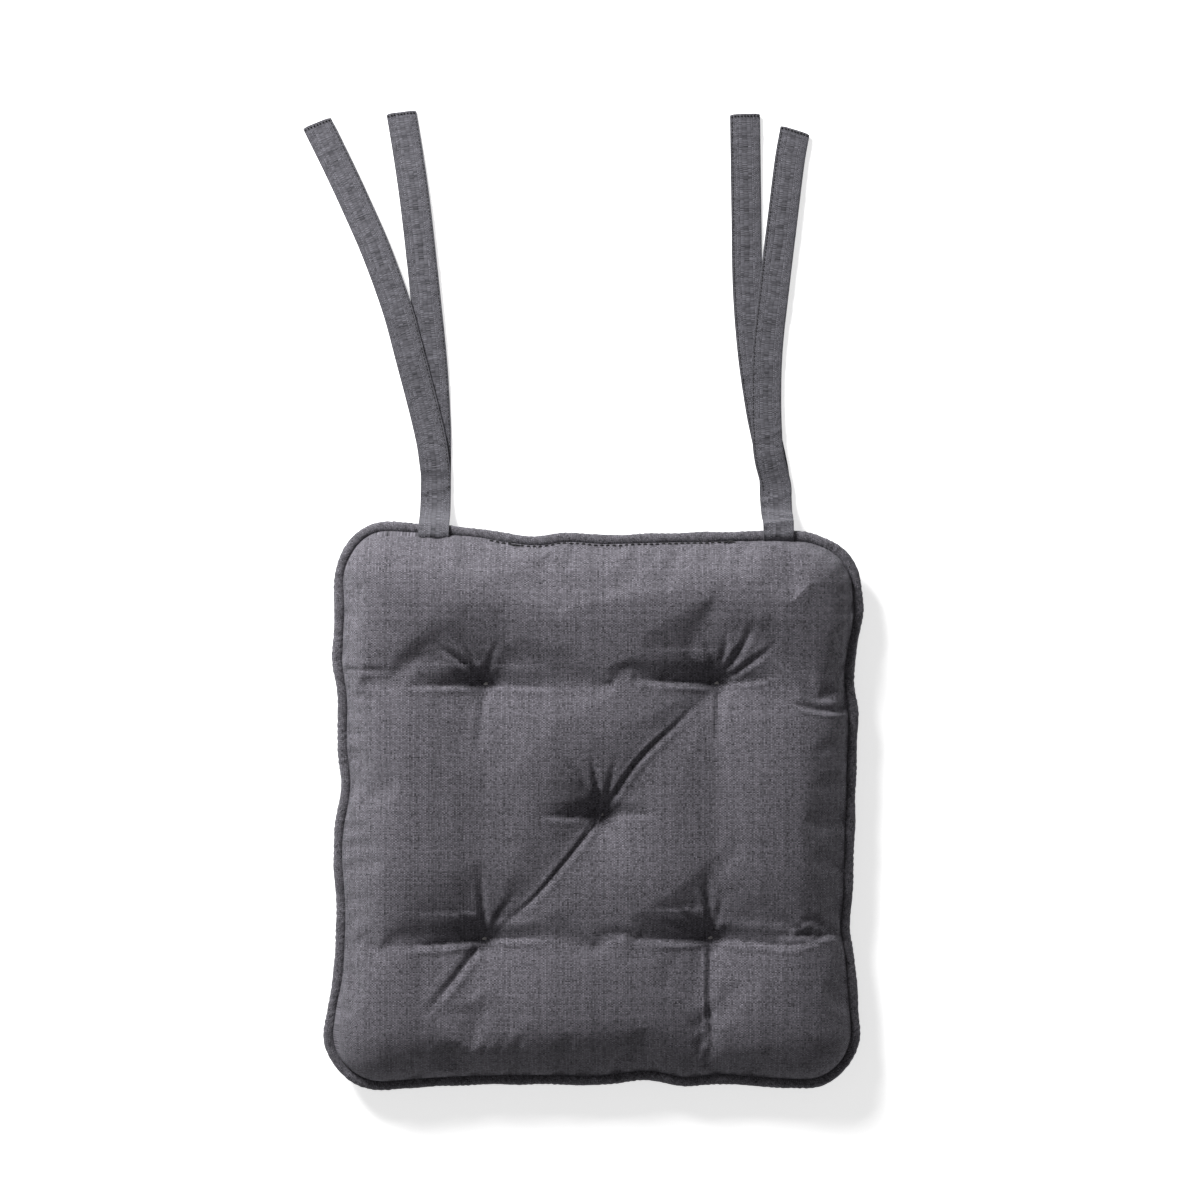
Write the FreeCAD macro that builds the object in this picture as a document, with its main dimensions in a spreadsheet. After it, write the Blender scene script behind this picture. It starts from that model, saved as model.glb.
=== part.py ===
"""Chair seat pad: a square tufted cushion with a piped edge, five stitched tufts and two pairs of fabric ties.

Frame: millimetres, +Z up, origin at the centre of the face that the pad rests on. +Y points to the back
edge, where the ties are sewn in, and +X to the right of someone who sits on the pad.

The cover is two fabric panels that meet in a seam round the edge. Between their seam allowances lies the
allowance of the piping sleeve, a strip folded round a cord. Each tie is one strip, folded in half: its
folded middle is caught in the back seam above the piping, and its two legs lie on each other at the root
and fan out from there. A strip bends anywhere, so here it is four solids: the anchor in the seam, the root
that lifts about the piping, and the two legs that swing from the root.
"""

import FreeCAD
import Part
import Sketcher
import math
import os

PARTS_FOLDER = "parts"
SHEET = "Dims"

# Driving dimensions: name, value in millimetres or degrees, meaning
DIMENSIONS = [
    ("pad_width", 378, "left to right, over the piping"),
    ("pad_depth", 398, "front to back, over the piping"),
    ("corner_radius", 42, "outside of the piping at the corners"),
    ("crown_height", 50, "top of the puffs above the resting face"),
    ("seam_height", 19, "middle of the edge seam above the resting face"),
    ("panel_thickness", 0.8, "fabric of the two panels"),
    ("top_roundness", 0.97, "share of the height above the seam that is rounded off"),
    ("bottom_roundness", 0.97, "share of the height below the seam that is rounded off"),
    ("piping_diameter", 8, "sleeve with its cord"),
    ("sleeve_wall", 0.9, "fabric round the cord"),
    ("cord_clearance", 0.15, "between cord and sleeve, on the radius"),
    ("piping_gap", 0.3, "between the piping and the panels"),
    ("allowance_width", 9, "seam allowance, inwards from the panel's edge"),
    ("allowance_thickness", 1.6, "the sleeve's two plies in the seam"),
    ("ply_gap", 0.1, "between the fill and the panels, and under a tie's tail"),
    ("tuft_pitch_x", 163, "left to right between the outer tufts"),
    ("tuft_pitch_y", 181, "front to back between the outer tufts"),
    ("top_dimple_floor", 22.5, "height of the top panel at a tuft"),
    ("top_dimple_reach", 46.5, "how far a top dimple reaches from its tuft"),
    ("top_dimple_arc", 46, "radius of the puff beside a top dimple"),
    ("bottom_dimple_floor", 13.5, "height of the bottom panel at a tuft"),
    ("bottom_dimple_reach", 29.5, "how far a bottom dimple reaches from its tuft"),
    ("bottom_dimple_arc", 30, "radius of the puff beside a bottom dimple"),
    ("dimple_rise", 0.6, "how far a dimple's arc passes the face, so that it cuts it cleanly"),
    ("thread_hole", 1.8, "the tufting thread's way through panels and fill"),
    ("tuft_thread", 1.2, "doubled tufting twine"),
    ("tuft_bar_length", 6, "length of the stitch that shows at a tuft"),
    ("tuft_bar_height", 1, "height of that stitch"),
    ("seam_thread", 0.6, "sewing thread of the edge seam"),
    ("seam_thread_inset", 2, "edge seam, inwards from the panel's wall"),
    ("topstitch_height", 0.2, "how far a topstitch stands proud"),
    ("topstitch_width", 0.6, "width of a topstitch"),
    ("closing_start", -82, "left end of the closing seam"),
    ("closing_end", 98, "right end of the closing seam"),
    ("closing_height", 22.5, "closing seam above the resting face"),
    ("tie_width", 21.7, "finished width of a tie"),
    ("tie_thickness", 1.4, "folded plies of one tie leg"),
    ("tie_gap", 0.3, "between a tie and what it passes"),
    ("leg_gap", 0.5, "between the two legs that lie on each other"),
    ("tie_left_at", -116, "middle of the left pair, left to right"),
    ("tie_right_at", 129, "middle of the right pair"),
    ("anchor_thickness", 2, "both legs pressed together in the seam"),
    ("anchor_end", 12, "where the anchor ends on the piping, degrees above level"),
    ("anchor_sweep", 155, "how far the anchor wraps the piping, degrees"),
    ("root_drop_start", 1.5, "top of the root above the middle of the piping"),
    ("root_reach", 41, "from the middle of the piping to the swing pivot"),
    ("root_horn_share", 0.3, "how far a root's corners stop short of the pivot, in tie widths, so that a leg can swing"),
    ("edge_stitch_inset", 1.6, "edge stitching from the tie's edge"),
]

# Legs: length along the middle, heading at the pivot (degrees left of +Y), turn along it (left is positive)
LEGS = {
    "tie_left_inner": {"length": 260, "heading": 0, "turn": 10.5},
    "tie_left_outer": {"length": 264, "heading": 10.7, "turn": 15.3},
    "tie_right_inner": {"length": 259, "heading": 10.1, "turn": -10.1},
    "tie_right_outer": {"length": 247, "heading": 6, "turn": -17.7},
}

# Tufts: place as shares of half the pitch, left to right and front to back
TUFTS = {
    "centre": (0, 0),
    "back_left": (-1, 1),
    "back_right": (1, 1),
    "front_left": (-1, -1),
    "front_right": (1, -1),
}

# Dimensions that follow from the others
DERIVED = [
    ("piping_radius", "piping_diameter / 2"),
    ("bore_radius", "piping_radius - sleeve_wall"),
    ("cord_radius", "bore_radius - cord_clearance"),
    ("piping_y", "pad_depth / 2 - piping_radius"),
    ("wall_y", "pad_depth / 2 - piping_diameter - piping_gap"),
    ("mouth_inset", "piping_diameter + piping_gap + allowance_width"),
    ("mouth_y", "pad_depth / 2 - mouth_inset"),
    ("waist_inset", "mouth_inset + tie_gap"),
    ("allowance_low", "seam_height - allowance_thickness / 2"),
    ("allowance_high", "seam_height + allowance_thickness / 2"),
    ("top_ply", "allowance_high + panel_thickness"),
    ("bottom_ply", "allowance_low - panel_thickness"),
    ("seam_inset", "piping_diameter + piping_gap + panel_thickness + seam_thread_inset"),
    ("seam_inner_inset", "seam_inset + seam_thread"),
    ("seam_low", "bottom_ply - seam_thread"),
    ("anchor_inner", "piping_radius + tie_gap"),
    ("anchor_outer", "anchor_inner + anchor_thickness"),
    ("tail_low", "allowance_high + ply_gap"),
    ("tail_end", "piping_y - anchor_inner + ply_gap"),
    ("slot_rise", "sqrt(anchor_outer ^ 2 - (piping_radius + piping_gap) ^ 2) + tie_gap"),
    ("ledge", "seam_height + slot_rise"),
    ("shelf", "seam_height - slot_rise"),
    ("fill_depth", "panel_thickness + ply_gap"),
    ("top_edge_radius", "top_roundness * (crown_height - fill_depth - ledge) + fill_depth"),
    ("bottom_edge_radius", "bottom_roundness * (shelf - fill_depth) + fill_depth"),
    ("top_arc_middle", "crown_height + dimple_rise - top_dimple_arc"),
    ("bottom_arc_middle", "bottom_dimple_arc - dimple_rise"),
    ("root_thickness", "2 * tie_thickness + leg_gap"),
    ("root_near", "piping_y + anchor_outer + tie_gap"),
    ("root_top", "seam_height + root_drop_start"),
    ("root_inner", "root_top - root_thickness"),
    ("root_bend_y", "root_near + root_top"),
    ("pivot_y", "piping_y + root_reach"),
    ("root_end_y", "pivot_y - root_horn_share * tie_width"),
]

# Layers of a half cushion: how deep each lies under the outside of the panel
LAYERS = {"outside": "0 * panel_thickness", "inside": "panel_thickness", "fill": "fill_depth"}
LAYER_SIZES = [
    ("inset", "piping_diameter + piping_gap + {depth}"),
    ("crown", "crown_height - {depth}"),
    ("base", "{depth}"),
    ("top_rounding", "top_edge_radius - {depth}"),
    ("bottom_rounding", "bottom_edge_radius - {depth}"),
    ("top_arc", "top_dimple_arc - {depth}"),
    ("bottom_arc", "bottom_dimple_arc - {depth}"),
    ("top_floor", "top_dimple_floor - {depth}"),
    ("bottom_floor", "bottom_dimple_floor + {depth}"),
    ("top_face", "crown_height - {depth} + dimple_rise / 2"),
    ("bottom_face", "{depth} - dimple_rise / 2"),
    ("top_rim", "allowance_high + {depth}"),
    ("bottom_rim", "allowance_low - {depth}"),
]

# A leg's ring sector: its bend is negative when it turns to the right
LEG_SIZES = [
    ("bend", "{leg}_length / ({leg}_turn * pi / 180)"),
    ("centre_x", "{at} - {leg}_bend * cos({leg}_heading)"),
    ("centre_y", "pivot_y - {leg}_bend * sin({leg}_heading)"),
    ("end_x", "{leg}_centre_x + {leg}_bend * cos({leg}_heading + {leg}_turn)"),
    ("end_y", "{leg}_centre_y + {leg}_bend * sin({leg}_heading + {leg}_turn)"),
    ("low", "{layer} * (tie_thickness + leg_gap)"),
]

ORIGIN_POINT = (-1, 1)
HORIZONTAL_AXIS = -1
VERTICAL_AXIS = -2

doc = FreeCAD.newDocument("ChairSeatPad")
sheet = doc.addObject("Spreadsheet::Sheet", SHEET)


def leg_side(leg):
    """The side of the pad a leg belongs to."""
    return "left" if "left" in leg else "right"


def sheet_rows():
    """Every row of the sheet: name, content and meaning."""
    rows = [(name, str(value), meaning) for name, value, meaning in DIMENSIONS]
    for leg, facts in LEGS.items():
        rows += [(f"{leg}_{fact}", str(value), f"{fact} of {leg}") for fact, value in facts.items()]
    rows += [(name, "=" + formula, "follows") for name, formula in DERIVED]
    for layer, depth in LAYERS.items():
        rows += [(f"{layer}_{name}", "=" + formula.format(depth=depth), "follows") for name, formula in LAYER_SIZES]
    for leg in LEGS:
        facts = {"leg": leg, "at": f"tie_{leg_side(leg)}_at", "layer": int("outer" in leg)}
        rows += [(f"{leg}_{name}", "=" + formula.format(**facts), "follows") for name, formula in LEG_SIZES]
    return rows


def fill_sheet():
    """Writes the dimensions, one to a row, each with its name as alias."""
    for row, (name, content, meaning) in enumerate(sheet_rows(), start=1):
        sheet.set(f"A{row}", name)
        sheet.set(f"B{row}", content)
        sheet.setAlias(f"B{row}", name)
        sheet.set(f"C{row}", meaning)
    doc.recompute()


def size(name):
    """A dimension of the sheet as a number."""
    return float(sheet.get(name))


def bind(item, **expressions):
    """Binds properties of a document object to expressions of sheet cells."""
    for prop, expression in expressions.items():
        item.setExpression(prop, expression)


def locate(item, x, y, z):
    """Binds the place of an object to expressions."""
    for axis, expression in zip("xyz", (x, y, z)):
        item.setExpression(f"Placement.Base.{axis}", expression)


def combine(kind, name, *items):
    """A boolean of two document objects (Cut, Fuse) or of several (MultiFuse)."""
    result = doc.addObject(f"Part::{kind}", name)
    if kind == "MultiFuse":
        result.Shapes = list(items)
    else:
        result.Base, result.Tool = items
    return result


def new_body(name, label=None):
    """An empty PartDesign body."""
    body = doc.addObject("PartDesign::Body", name)
    if label:
        body.Label = label
    return body


def new_sketch(body, name, role):
    """An empty sketch on one of the body's own origin planes."""
    sketch = body.newObject("Sketcher::SketchObject", name)
    plane = next(feature for feature in body.Origin.OriginFeatures if feature.Role == role)
    sketch.AttachmentSupport = [(plane, "")]
    sketch.MapMode = "FlatFace"
    return sketch


def relate(sketch, kind, *references):
    """Adds a geometric constraint."""
    sketch.addConstraint(Sketcher.Constraint(kind, *references))


def measure(sketch, expression, *arguments):
    """Adds a dimension to a sketch and binds it to an expression."""
    index = sketch.addConstraint(Sketcher.Constraint(*arguments))
    sketch.setExpression(f"Constraints[{index}]", expression)


def flat(x, y):
    """A point in a sketch."""
    return FreeCAD.Vector(x, y, 0)


def add_line(sketch, start, end):
    """Adds a line from one point to another."""
    return sketch.addGeometry(Part.LineSegment(flat(*start), flat(*end)), False)


def add_arc(sketch, centre, radius, start, end):
    """Adds an arc between two angles in radians."""
    circle = Part.Circle(flat(*centre), FreeCAD.Vector(0, 0, 1), radius)
    return sketch.addGeometry(Part.ArcOfCircle(circle, start, end), False)


def add_circle(sketch, centre, radius):
    """Adds a circle."""
    return sketch.addGeometry(Part.Circle(flat(*centre), FreeCAD.Vector(0, 0, 1), radius), False)


def outline_numbers(inset):
    """Half width, half depth and corner radius of the pad's outline, inset from the outside of the piping."""
    step = size(inset)
    return size("pad_width") / 2 - step, size("pad_depth") / 2 - step, size("corner_radius") - step


def tie_down_outline(sketch, arcs, inset, across, along):
    """Fixes the corners and the straight lengths of an outline whose four arcs are given."""
    for first, second in zip(arcs, arcs[1:]):
        relate(sketch, "Equal", first, second)
    relate(sketch, "Symmetric", arcs[0], 3, arcs[2], 3, *ORIGIN_POINT)
    half_x, half_y, radius = outline_numbers(inset)
    measure(sketch, f"Dims.corner_radius - Dims.{inset}", "Radius", arcs[0], radius)
    straight_x = "Dims.pad_width - 2 * Dims.corner_radius"
    straight_y = "Dims.pad_depth - 2 * Dims.corner_radius"
    measure(sketch, straight_x, "DistanceX", across, 1, across, 2, 2 * (half_x - radius))
    measure(sketch, straight_y, "DistanceY", along, 1, along, 2, 2 * (half_y - radius))


def add_outline(sketch, inset):
    """Draws the pad's rounded rectangle, inset from the outside of the piping, centred on the origin."""
    half_x, half_y, radius = outline_numbers(inset)
    across, along = half_x - radius, half_y - radius
    sides = [
        add_line(sketch, (-across, -half_y), (across, -half_y)),
        add_line(sketch, (half_x, -along), (half_x, along)),
        add_line(sketch, (across, half_y), (-across, half_y)),
        add_line(sketch, (-half_x, along), (-half_x, -along)),
    ]
    arcs = []
    for corner, (sign_x, sign_y) in enumerate([(1, -1), (1, 1), (-1, 1), (-1, -1)]):
        start = math.radians(-90 + 90 * corner)
        arcs.append(add_arc(sketch, (sign_x * across, sign_y * along), radius, start, start + math.pi / 2))
    for corner in range(4):
        relate(sketch, "Tangent", sides[corner], 2, arcs[corner], 1)
        relate(sketch, "Tangent", arcs[corner], 2, sides[(corner + 1) % 4], 1)
        relate(sketch, "Vertical" if corner % 2 else "Horizontal", sides[corner])
    tie_down_outline(sketch, arcs, inset, sides[0], sides[1])


def add_block(body, name, inset, low, high, hole_inset=None):
    """Pads the rounded outline from one level to another. With hole_inset it is a ring."""
    sketch = new_sketch(body, name + "Outline", "XY_Plane")
    add_outline(sketch, inset)
    if hole_inset:
        add_outline(sketch, hole_inset)
    sketch.setExpression("AttachmentOffset.Base.z", f"Dims.{low}")
    pad = body.newObject("PartDesign::Pad", name)
    pad.Profile = sketch
    bind(pad, Length=f"Dims.{high} - Dims.{low}")
    doc.recompute()
    return pad


def round_off(body, feature, level, radius, inset):
    """Fillets the outer edges of a feature at a level."""
    half_x, half_y, _ = outline_numbers(inset)
    height = size(level)
    names = []
    for number, edge in enumerate(feature.Shape.Edges, start=1):
        box = edge.BoundBox
        level_edge = max(abs(box.ZMin - height), abs(box.ZMax - height)) < 0.01
        reach_x, reach_y = max(abs(box.XMin), abs(box.XMax)), max(abs(box.YMin), abs(box.YMax))
        if level_edge and (reach_x > half_x - 0.01 or reach_y > half_y - 0.01):
            names.append(f"Edge{number}")
    fillet = body.newObject("PartDesign::Fillet", feature.Name + "Rounding")
    fillet.Base = (feature, names)
    bind(fillet, Radius=f"Dims.{radius}")
    doc.recompute()
    return fillet


def tuft_place(tuft):
    """Where a tuft is, left to right and front to back."""
    share_x, share_y = TUFTS[tuft]
    return share_x * size("tuft_pitch_x") / 2, share_y * size("tuft_pitch_y") / 2


def cut_dimple(body, tuft, side, layer):
    """Turns a tuft's dimple out of one layer of the top or the bottom."""
    radius, reach, middle = size(f"{layer}_{side}_arc"), size(f"{side}_dimple_reach"), size(f"{side}_arc_middle")
    floor, face = size(f"{layer}_{side}_floor"), size(f"{layer}_{side}_face")
    at_floor, at_face = (math.pi - math.asin((level - middle) / radius) for level in (floor, face))
    floor_end, face_end = (2, 1) if at_floor > at_face else (1, 2)
    floor_x, face_x = (reach + radius * math.cos(angle) for angle in (at_floor, at_face))
    sketch = new_sketch(body, f"{layer}_{side}_{tuft}_profile", "XZ_Plane")
    floor_line = add_line(sketch, (0, floor), (floor_x, floor))
    arc = add_arc(sketch, (reach, middle), radius, min(at_floor, at_face), max(at_floor, at_face))
    face_line = add_line(sketch, (face_x, face), (0, face))
    axis_line = add_line(sketch, (0, face), (0, floor))
    relate(sketch, "Coincident", floor_line, 2, arc, floor_end)
    relate(sketch, "Coincident", arc, face_end, face_line, 1)
    relate(sketch, "Coincident", face_line, 2, axis_line, 1)
    relate(sketch, "Coincident", axis_line, 2, floor_line, 1)
    relate(sketch, "Horizontal", floor_line)
    relate(sketch, "Horizontal", face_line)
    relate(sketch, "PointOnObject", axis_line, 1, VERTICAL_AXIS)
    relate(sketch, "PointOnObject", axis_line, 2, VERTICAL_AXIS)
    measure(sketch, f"Dims.{layer}_{side}_arc", "Radius", arc, radius)
    measure(sketch, f"Dims.{side}_dimple_reach", "DistanceX", *ORIGIN_POINT, arc, 3, reach)
    measure(sketch, f"Dims.{side}_arc_middle", "DistanceY", *ORIGIN_POINT, arc, 3, middle)
    measure(sketch, f"Dims.{layer}_{side}_floor", "DistanceY", *ORIGIN_POINT, floor_line, 1, floor)
    measure(sketch, f"Dims.{layer}_{side}_face", "DistanceY", *ORIGIN_POINT, face_line, 2, face)
    share_x, share_y = TUFTS[tuft]
    sketch.setExpression("AttachmentOffset.Base.x", f"{share_x} * Dims.tuft_pitch_x / 2")
    sketch.setExpression("AttachmentOffset.Base.z", f"{-share_y} * Dims.tuft_pitch_y / 2")
    groove = body.newObject("PartDesign::Groove", f"{layer}_{side}_{tuft}_dimple")
    groove.Profile = sketch
    groove.ReferenceAxis = (sketch, ["V_Axis"])
    groove.Angle = 360
    doc.recompute()


def cut_thread_holes(body):
    """Cuts the ways of the five tufting threads through a body."""
    sketch = new_sketch(body, "ThreadHoles", "XY_Plane")
    for tuft, shares in TUFTS.items():
        place = tuft_place(tuft)
        hole = add_circle(sketch, place, size("thread_hole") / 2)
        measure(sketch, "Dims.thread_hole / 2", "Radius", hole, size("thread_hole") / 2)
        for axis, share, distance, across in zip("XY", shares, place, (VERTICAL_AXIS, HORIZONTAL_AXIS)):
            if not share:
                relate(sketch, "PointOnObject", hole, 3, across)
                continue
            ends = (*ORIGIN_POINT, hole, 3) if share > 0 else (hole, 3, *ORIGIN_POINT)
            measure(sketch, f"Dims.tuft_pitch_{axis.lower()} / 2", f"Distance{axis}", *ends, abs(distance))
    pocket = body.newObject("PartDesign::Pocket", "ThreadWays")
    pocket.Profile = sketch
    pocket.Type = "ThroughAll"
    pocket.Midplane = True
    doc.recompute()


def make_half(side, layer):
    """One layer of the top or the bottom half of the cushion, as a solid."""
    body = new_body(f"{side}_{layer}")
    low, high = ("top_rim", "crown") if side == "top" else ("base", "bottom_rim")
    block = add_block(body, f"{side}_{layer}_block", f"{layer}_inset", f"{layer}_{low}", f"{layer}_{high}")
    level = f"{layer}_crown" if side == "top" else f"{layer}_base"
    round_off(body, block, level, f"{layer}_{side}_rounding", f"{layer}_inset")
    for tuft in TUFTS:
        cut_dimple(body, tuft, side, layer)
    return body


def make_panel(side):
    """A fabric panel: a shell with its seam allowance turned in, and a hole for each tufting thread."""
    outside = make_half(side, "outside")
    cut_thread_holes(outside)
    inside = make_half(side, "inside")
    mouth = new_body(f"{side}_mouth")
    low, high = ("allowance_high", "top_ply") if side == "top" else ("bottom_ply", "allowance_low")
    add_block(mouth, f"{side}_mouth_block", "mouth_inset", low, high)
    hollow = combine("Fuse", f"{side}_hollow", inside, mouth)
    return combine("Cut", f"{side}_shell", outside, hollow)


def make_tie_slot(side):
    """The room in the top panel's seam where a tie comes out over the piping."""
    slot = doc.addObject("Part::Box", f"tie_slot_{side}")
    bind(
        slot,
        Length="Dims.tie_width + 2 * Dims.tie_gap",
        Width="Dims.allowance_width + 2 * Dims.piping_gap",
        Height="Dims.slot_rise",
    )
    left_edge = f"Dims.tie_{side}_at - Dims.tie_width / 2 - Dims.tie_gap"
    locate(slot, left_edge, "Dims.mouth_y - Dims.piping_gap", "Dims.seam_height")
    return slot


def make_top_panel():
    """The upper panel, with room in its back seam for the ties."""
    slots = combine("Fuse", "tie_slots", make_tie_slot("left"), make_tie_slot("right"))
    panel = combine("Cut", "TopPanel", make_panel("top"), slots)
    panel.Label = "top_panel"
    return panel


def make_bottom_panel():
    """The lower panel, which the pad rests on."""
    panel = make_panel("bottom")
    panel.Label = "bottom_panel"
    return panel


def make_fibre_fill():
    """The filling: it fills both panels, and steps in where the seam allowances lie."""
    body = new_body("FibreFill", "fibre_fill")
    add_block(body, "fill_waist", "waist_inset", "shelf", "ledge")
    upper = add_block(body, "fill_upper", "fill_inset", "ledge", "fill_crown")
    round_off(body, upper, "fill_crown", "fill_top_rounding", "fill_inset")
    lower = add_block(body, "fill_lower", "fill_inset", "fill_base", "shelf")
    round_off(body, lower, "fill_base", "fill_bottom_rounding", "fill_inset")
    for tuft in TUFTS:
        cut_dimple(body, tuft, "top", "fill")
        cut_dimple(body, tuft, "bottom", "fill")
    cut_thread_holes(body)
    return body


def add_piping_path(body, name):
    """The middle line of the piping round the pad, closed in the middle of the back side."""
    sketch = new_sketch(body, name, "XY_Plane")
    half_x, half_y, radius = outline_numbers("piping_radius")
    across, along = half_x - radius, half_y - radius
    runs = [
        ((0, half_y), (-across, half_y)),
        ((-half_x, along), (-half_x, -along)),
        ((-across, -half_y), (across, -half_y)),
        ((half_x, -along), (half_x, along)),
        ((across, half_y), (0, half_y)),
    ]
    centres = [(-across, along), (-across, -along), (across, -along), (across, along)]
    lines = [add_line(sketch, *run) for run in runs]
    arcs = []
    for corner, centre in enumerate(centres):
        start = math.radians(90 + 90 * corner)
        arcs.append(add_arc(sketch, centre, radius, start, start + math.pi / 2))
    for corner, arc in enumerate(arcs):
        relate(sketch, "Tangent", lines[corner], 2, arc, 1)
        relate(sketch, "Tangent", arc, 2, lines[corner + 1], 1)
    for number, line in enumerate(lines):
        relate(sketch, "Vertical" if number % 2 else "Horizontal", line)
    relate(sketch, "Coincident", lines[4], 2, lines[0], 1)
    relate(sketch, "PointOnObject", lines[0], 1, VERTICAL_AXIS)
    tie_down_outline(sketch, arcs, "piping_radius", lines[2], lines[3])
    sketch.setExpression("AttachmentOffset.Base.z", "Dims.seam_height")
    return sketch


def add_pipe(body, kind, name, radius, path):
    """Sweeps a circle of a radius along the piping's middle line, adding to the body or taking away."""
    section = new_sketch(body, name + "Section", "YZ_Plane")
    middle = (size("piping_y"), size("seam_height"))
    circle = add_circle(section, middle, size(radius))
    measure(section, f"Dims.{radius}", "Radius", circle, size(radius))
    measure(section, "Dims.piping_y", "DistanceX", *ORIGIN_POINT, circle, 3, middle[0])
    measure(section, "Dims.seam_height", "DistanceY", *ORIGIN_POINT, circle, 3, middle[1])
    pipe = body.newObject(f"PartDesign::{kind}Pipe", name)
    pipe.Profile = section
    pipe.Spine = (path, [])
    doc.recompute()


def make_piping_sleeve():
    """The fabric round the cord, with its two-ply allowance that reaches into the seam."""
    body = new_body("PipingSleeve", "piping_sleeve")
    path = add_piping_path(body, "PipingPath")
    add_pipe(body, "Additive", "SleeveTube", "piping_radius", path)
    add_block(body, "SleeveAllowance", "piping_radius", "allowance_low", "allowance_high", "mouth_inset")
    add_pipe(body, "Subtractive", "CordWay", "bore_radius", path)
    return body


def make_piping_cord():
    """The cord that fills the piping sleeve, a closed loop round the pad."""
    body = new_body("PipingCord", "piping_cord")
    add_pipe(body, "Additive", "Cord", "cord_radius", add_piping_path(body, "CordPath"))
    return body


def make_perimeter_seam():
    """The thread of the edge seam, where it lies on the lower panel's allowance inside the cover."""
    body = new_body("PerimeterSeam", "perimeter_seam_thread")
    add_block(body, "SeamLine", "seam_inset", "seam_low", "bottom_ply", "seam_inner_inset")
    return body


def make_closing_seam():
    """The topstitch at the back that closes the opening the pad was filled through."""
    thread = doc.addObject("Part::Box", "ClosingSeam")
    length = "Dims.closing_end - Dims.closing_start"
    bind(thread, Length=length, Width="Dims.topstitch_height", Height="Dims.topstitch_width")
    locate(thread, "Dims.closing_start", "Dims.wall_y", "Dims.closing_height")
    thread.Label = "closing_seam_thread"
    return thread


def make_tuft_thread(tuft):
    """A tufting thread: a shank through the pad and a short stitch across the floor of each dimple."""
    share_x, share_y = TUFTS[tuft]
    x, y = f"{share_x} * Dims.tuft_pitch_x / 2", f"{share_y} * Dims.tuft_pitch_y / 2"
    shank = doc.addObject("Part::Cylinder", f"tuft_shank_{tuft}")
    height = "Dims.top_dimple_floor - Dims.bottom_dimple_floor + Dims.tuft_bar_height"
    bind(shank, Radius="Dims.tuft_thread / 2", Height=height)
    locate(shank, x, y, "Dims.bottom_dimple_floor - Dims.tuft_bar_height / 2")
    pieces = [shank]
    levels = {"top": "Dims.top_dimple_floor", "bottom": "Dims.bottom_dimple_floor - Dims.tuft_bar_height"}
    for side, level in levels.items():
        bar = doc.addObject("Part::Box", f"tuft_bar_{tuft}_{side}")
        bind(bar, Length="Dims.tuft_bar_length", Width="2 * Dims.tuft_thread", Height="Dims.tuft_bar_height")
        locate(bar, f"{x} - Dims.tuft_bar_length / 2", f"{y} - Dims.tuft_thread", level)
        pieces.append(bar)
    thread = combine("MultiFuse", f"TuftThread_{tuft}", *pieces)
    thread.Label = f"tuft_thread_{tuft}"
    return thread


def make_sector(name, outer, inner, height, sweep):
    """A ring sector on the XY plane, counter-clockwise from the X axis, all sizes as expressions."""
    solid = doc.addObject("Part::Cylinder", name + "_solid")
    bind(solid, Radius=outer, Height=height, Angle=sweep)
    core = doc.addObject("Part::Cylinder", name + "_core")
    bind(core, Radius=inner, Height=f"{height} + 2 * Dims.tie_thickness")
    locate(core, "0", "0", "-Dims.tie_thickness")
    return combine("Cut", name, solid, core)


def stand_along_x(item, start):
    """Turns a sector so that its axis runs along +X and it starts a number of degrees above level."""
    tip = FreeCAD.Rotation(FreeCAD.Vector(0, 1, 0), 90)
    item.Placement.Rotation = tip.multiply(FreeCAD.Rotation(FreeCAD.Vector(0, 0, 1), 90 + start))


def tie_left_edge(side):
    """The expression for the left edge of a pair of ties."""
    return f"Dims.tie_{side}_at - Dims.tie_width / 2"


def make_tie_anchor(side):
    """The folded middle of a tie: its tail lies in the seam, and it bends over the top of the piping."""
    bend = make_sector(
        f"anchor_bend_{side}", "Dims.anchor_outer", "Dims.anchor_inner", "Dims.tie_width", "Dims.anchor_sweep"
    )
    stand_along_x(bend, size("anchor_end"))
    locate(bend, tie_left_edge(side), "Dims.piping_y", "Dims.seam_height")
    tail = doc.addObject("Part::Box", f"anchor_tail_{side}")
    bind(tail, Length="Dims.tie_width", Width="Dims.tail_end - Dims.mouth_y", Height="Dims.anchor_thickness")
    locate(tail, tie_left_edge(side), "Dims.mouth_y", "Dims.tail_low")
    anchor = combine("Fuse", f"TieAnchor_{side}", bend, tail)
    anchor.Label = f"tie_{side}_anchor"
    return anchor


def make_tie_root(side):
    """The doubled start of a tie: it drops from the piping in a quarter bend and lies on the floor."""
    bend = make_sector(f"root_bend_{side}", "Dims.root_top", "Dims.root_inner", "Dims.tie_width", "90")
    stand_along_x(bend, 180)
    locate(bend, tie_left_edge(side), "Dims.root_bend_y", "Dims.root_top")
    run = doc.addObject("Part::Box", f"root_run_{side}")
    bind(run, Length="Dims.tie_width", Width="Dims.root_end_y - Dims.root_bend_y", Height="Dims.root_thickness")
    locate(run, tie_left_edge(side), "Dims.root_bend_y", "0")
    end = doc.addObject("Part::Cylinder", f"root_end_{side}")
    bind(end, Radius="Dims.tie_width / 2 + Dims.tie_gap", Height="Dims.root_thickness + 2 * Dims.tie_gap")
    locate(end, f"Dims.tie_{side}_at", "Dims.pivot_y", "-Dims.tie_gap")
    root = combine("Cut", f"TieRoot_{side}", combine("Fuse", f"root_strip_{side}", bend, run), end)
    root.Label = f"tie_{side}_root"
    return root


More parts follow.
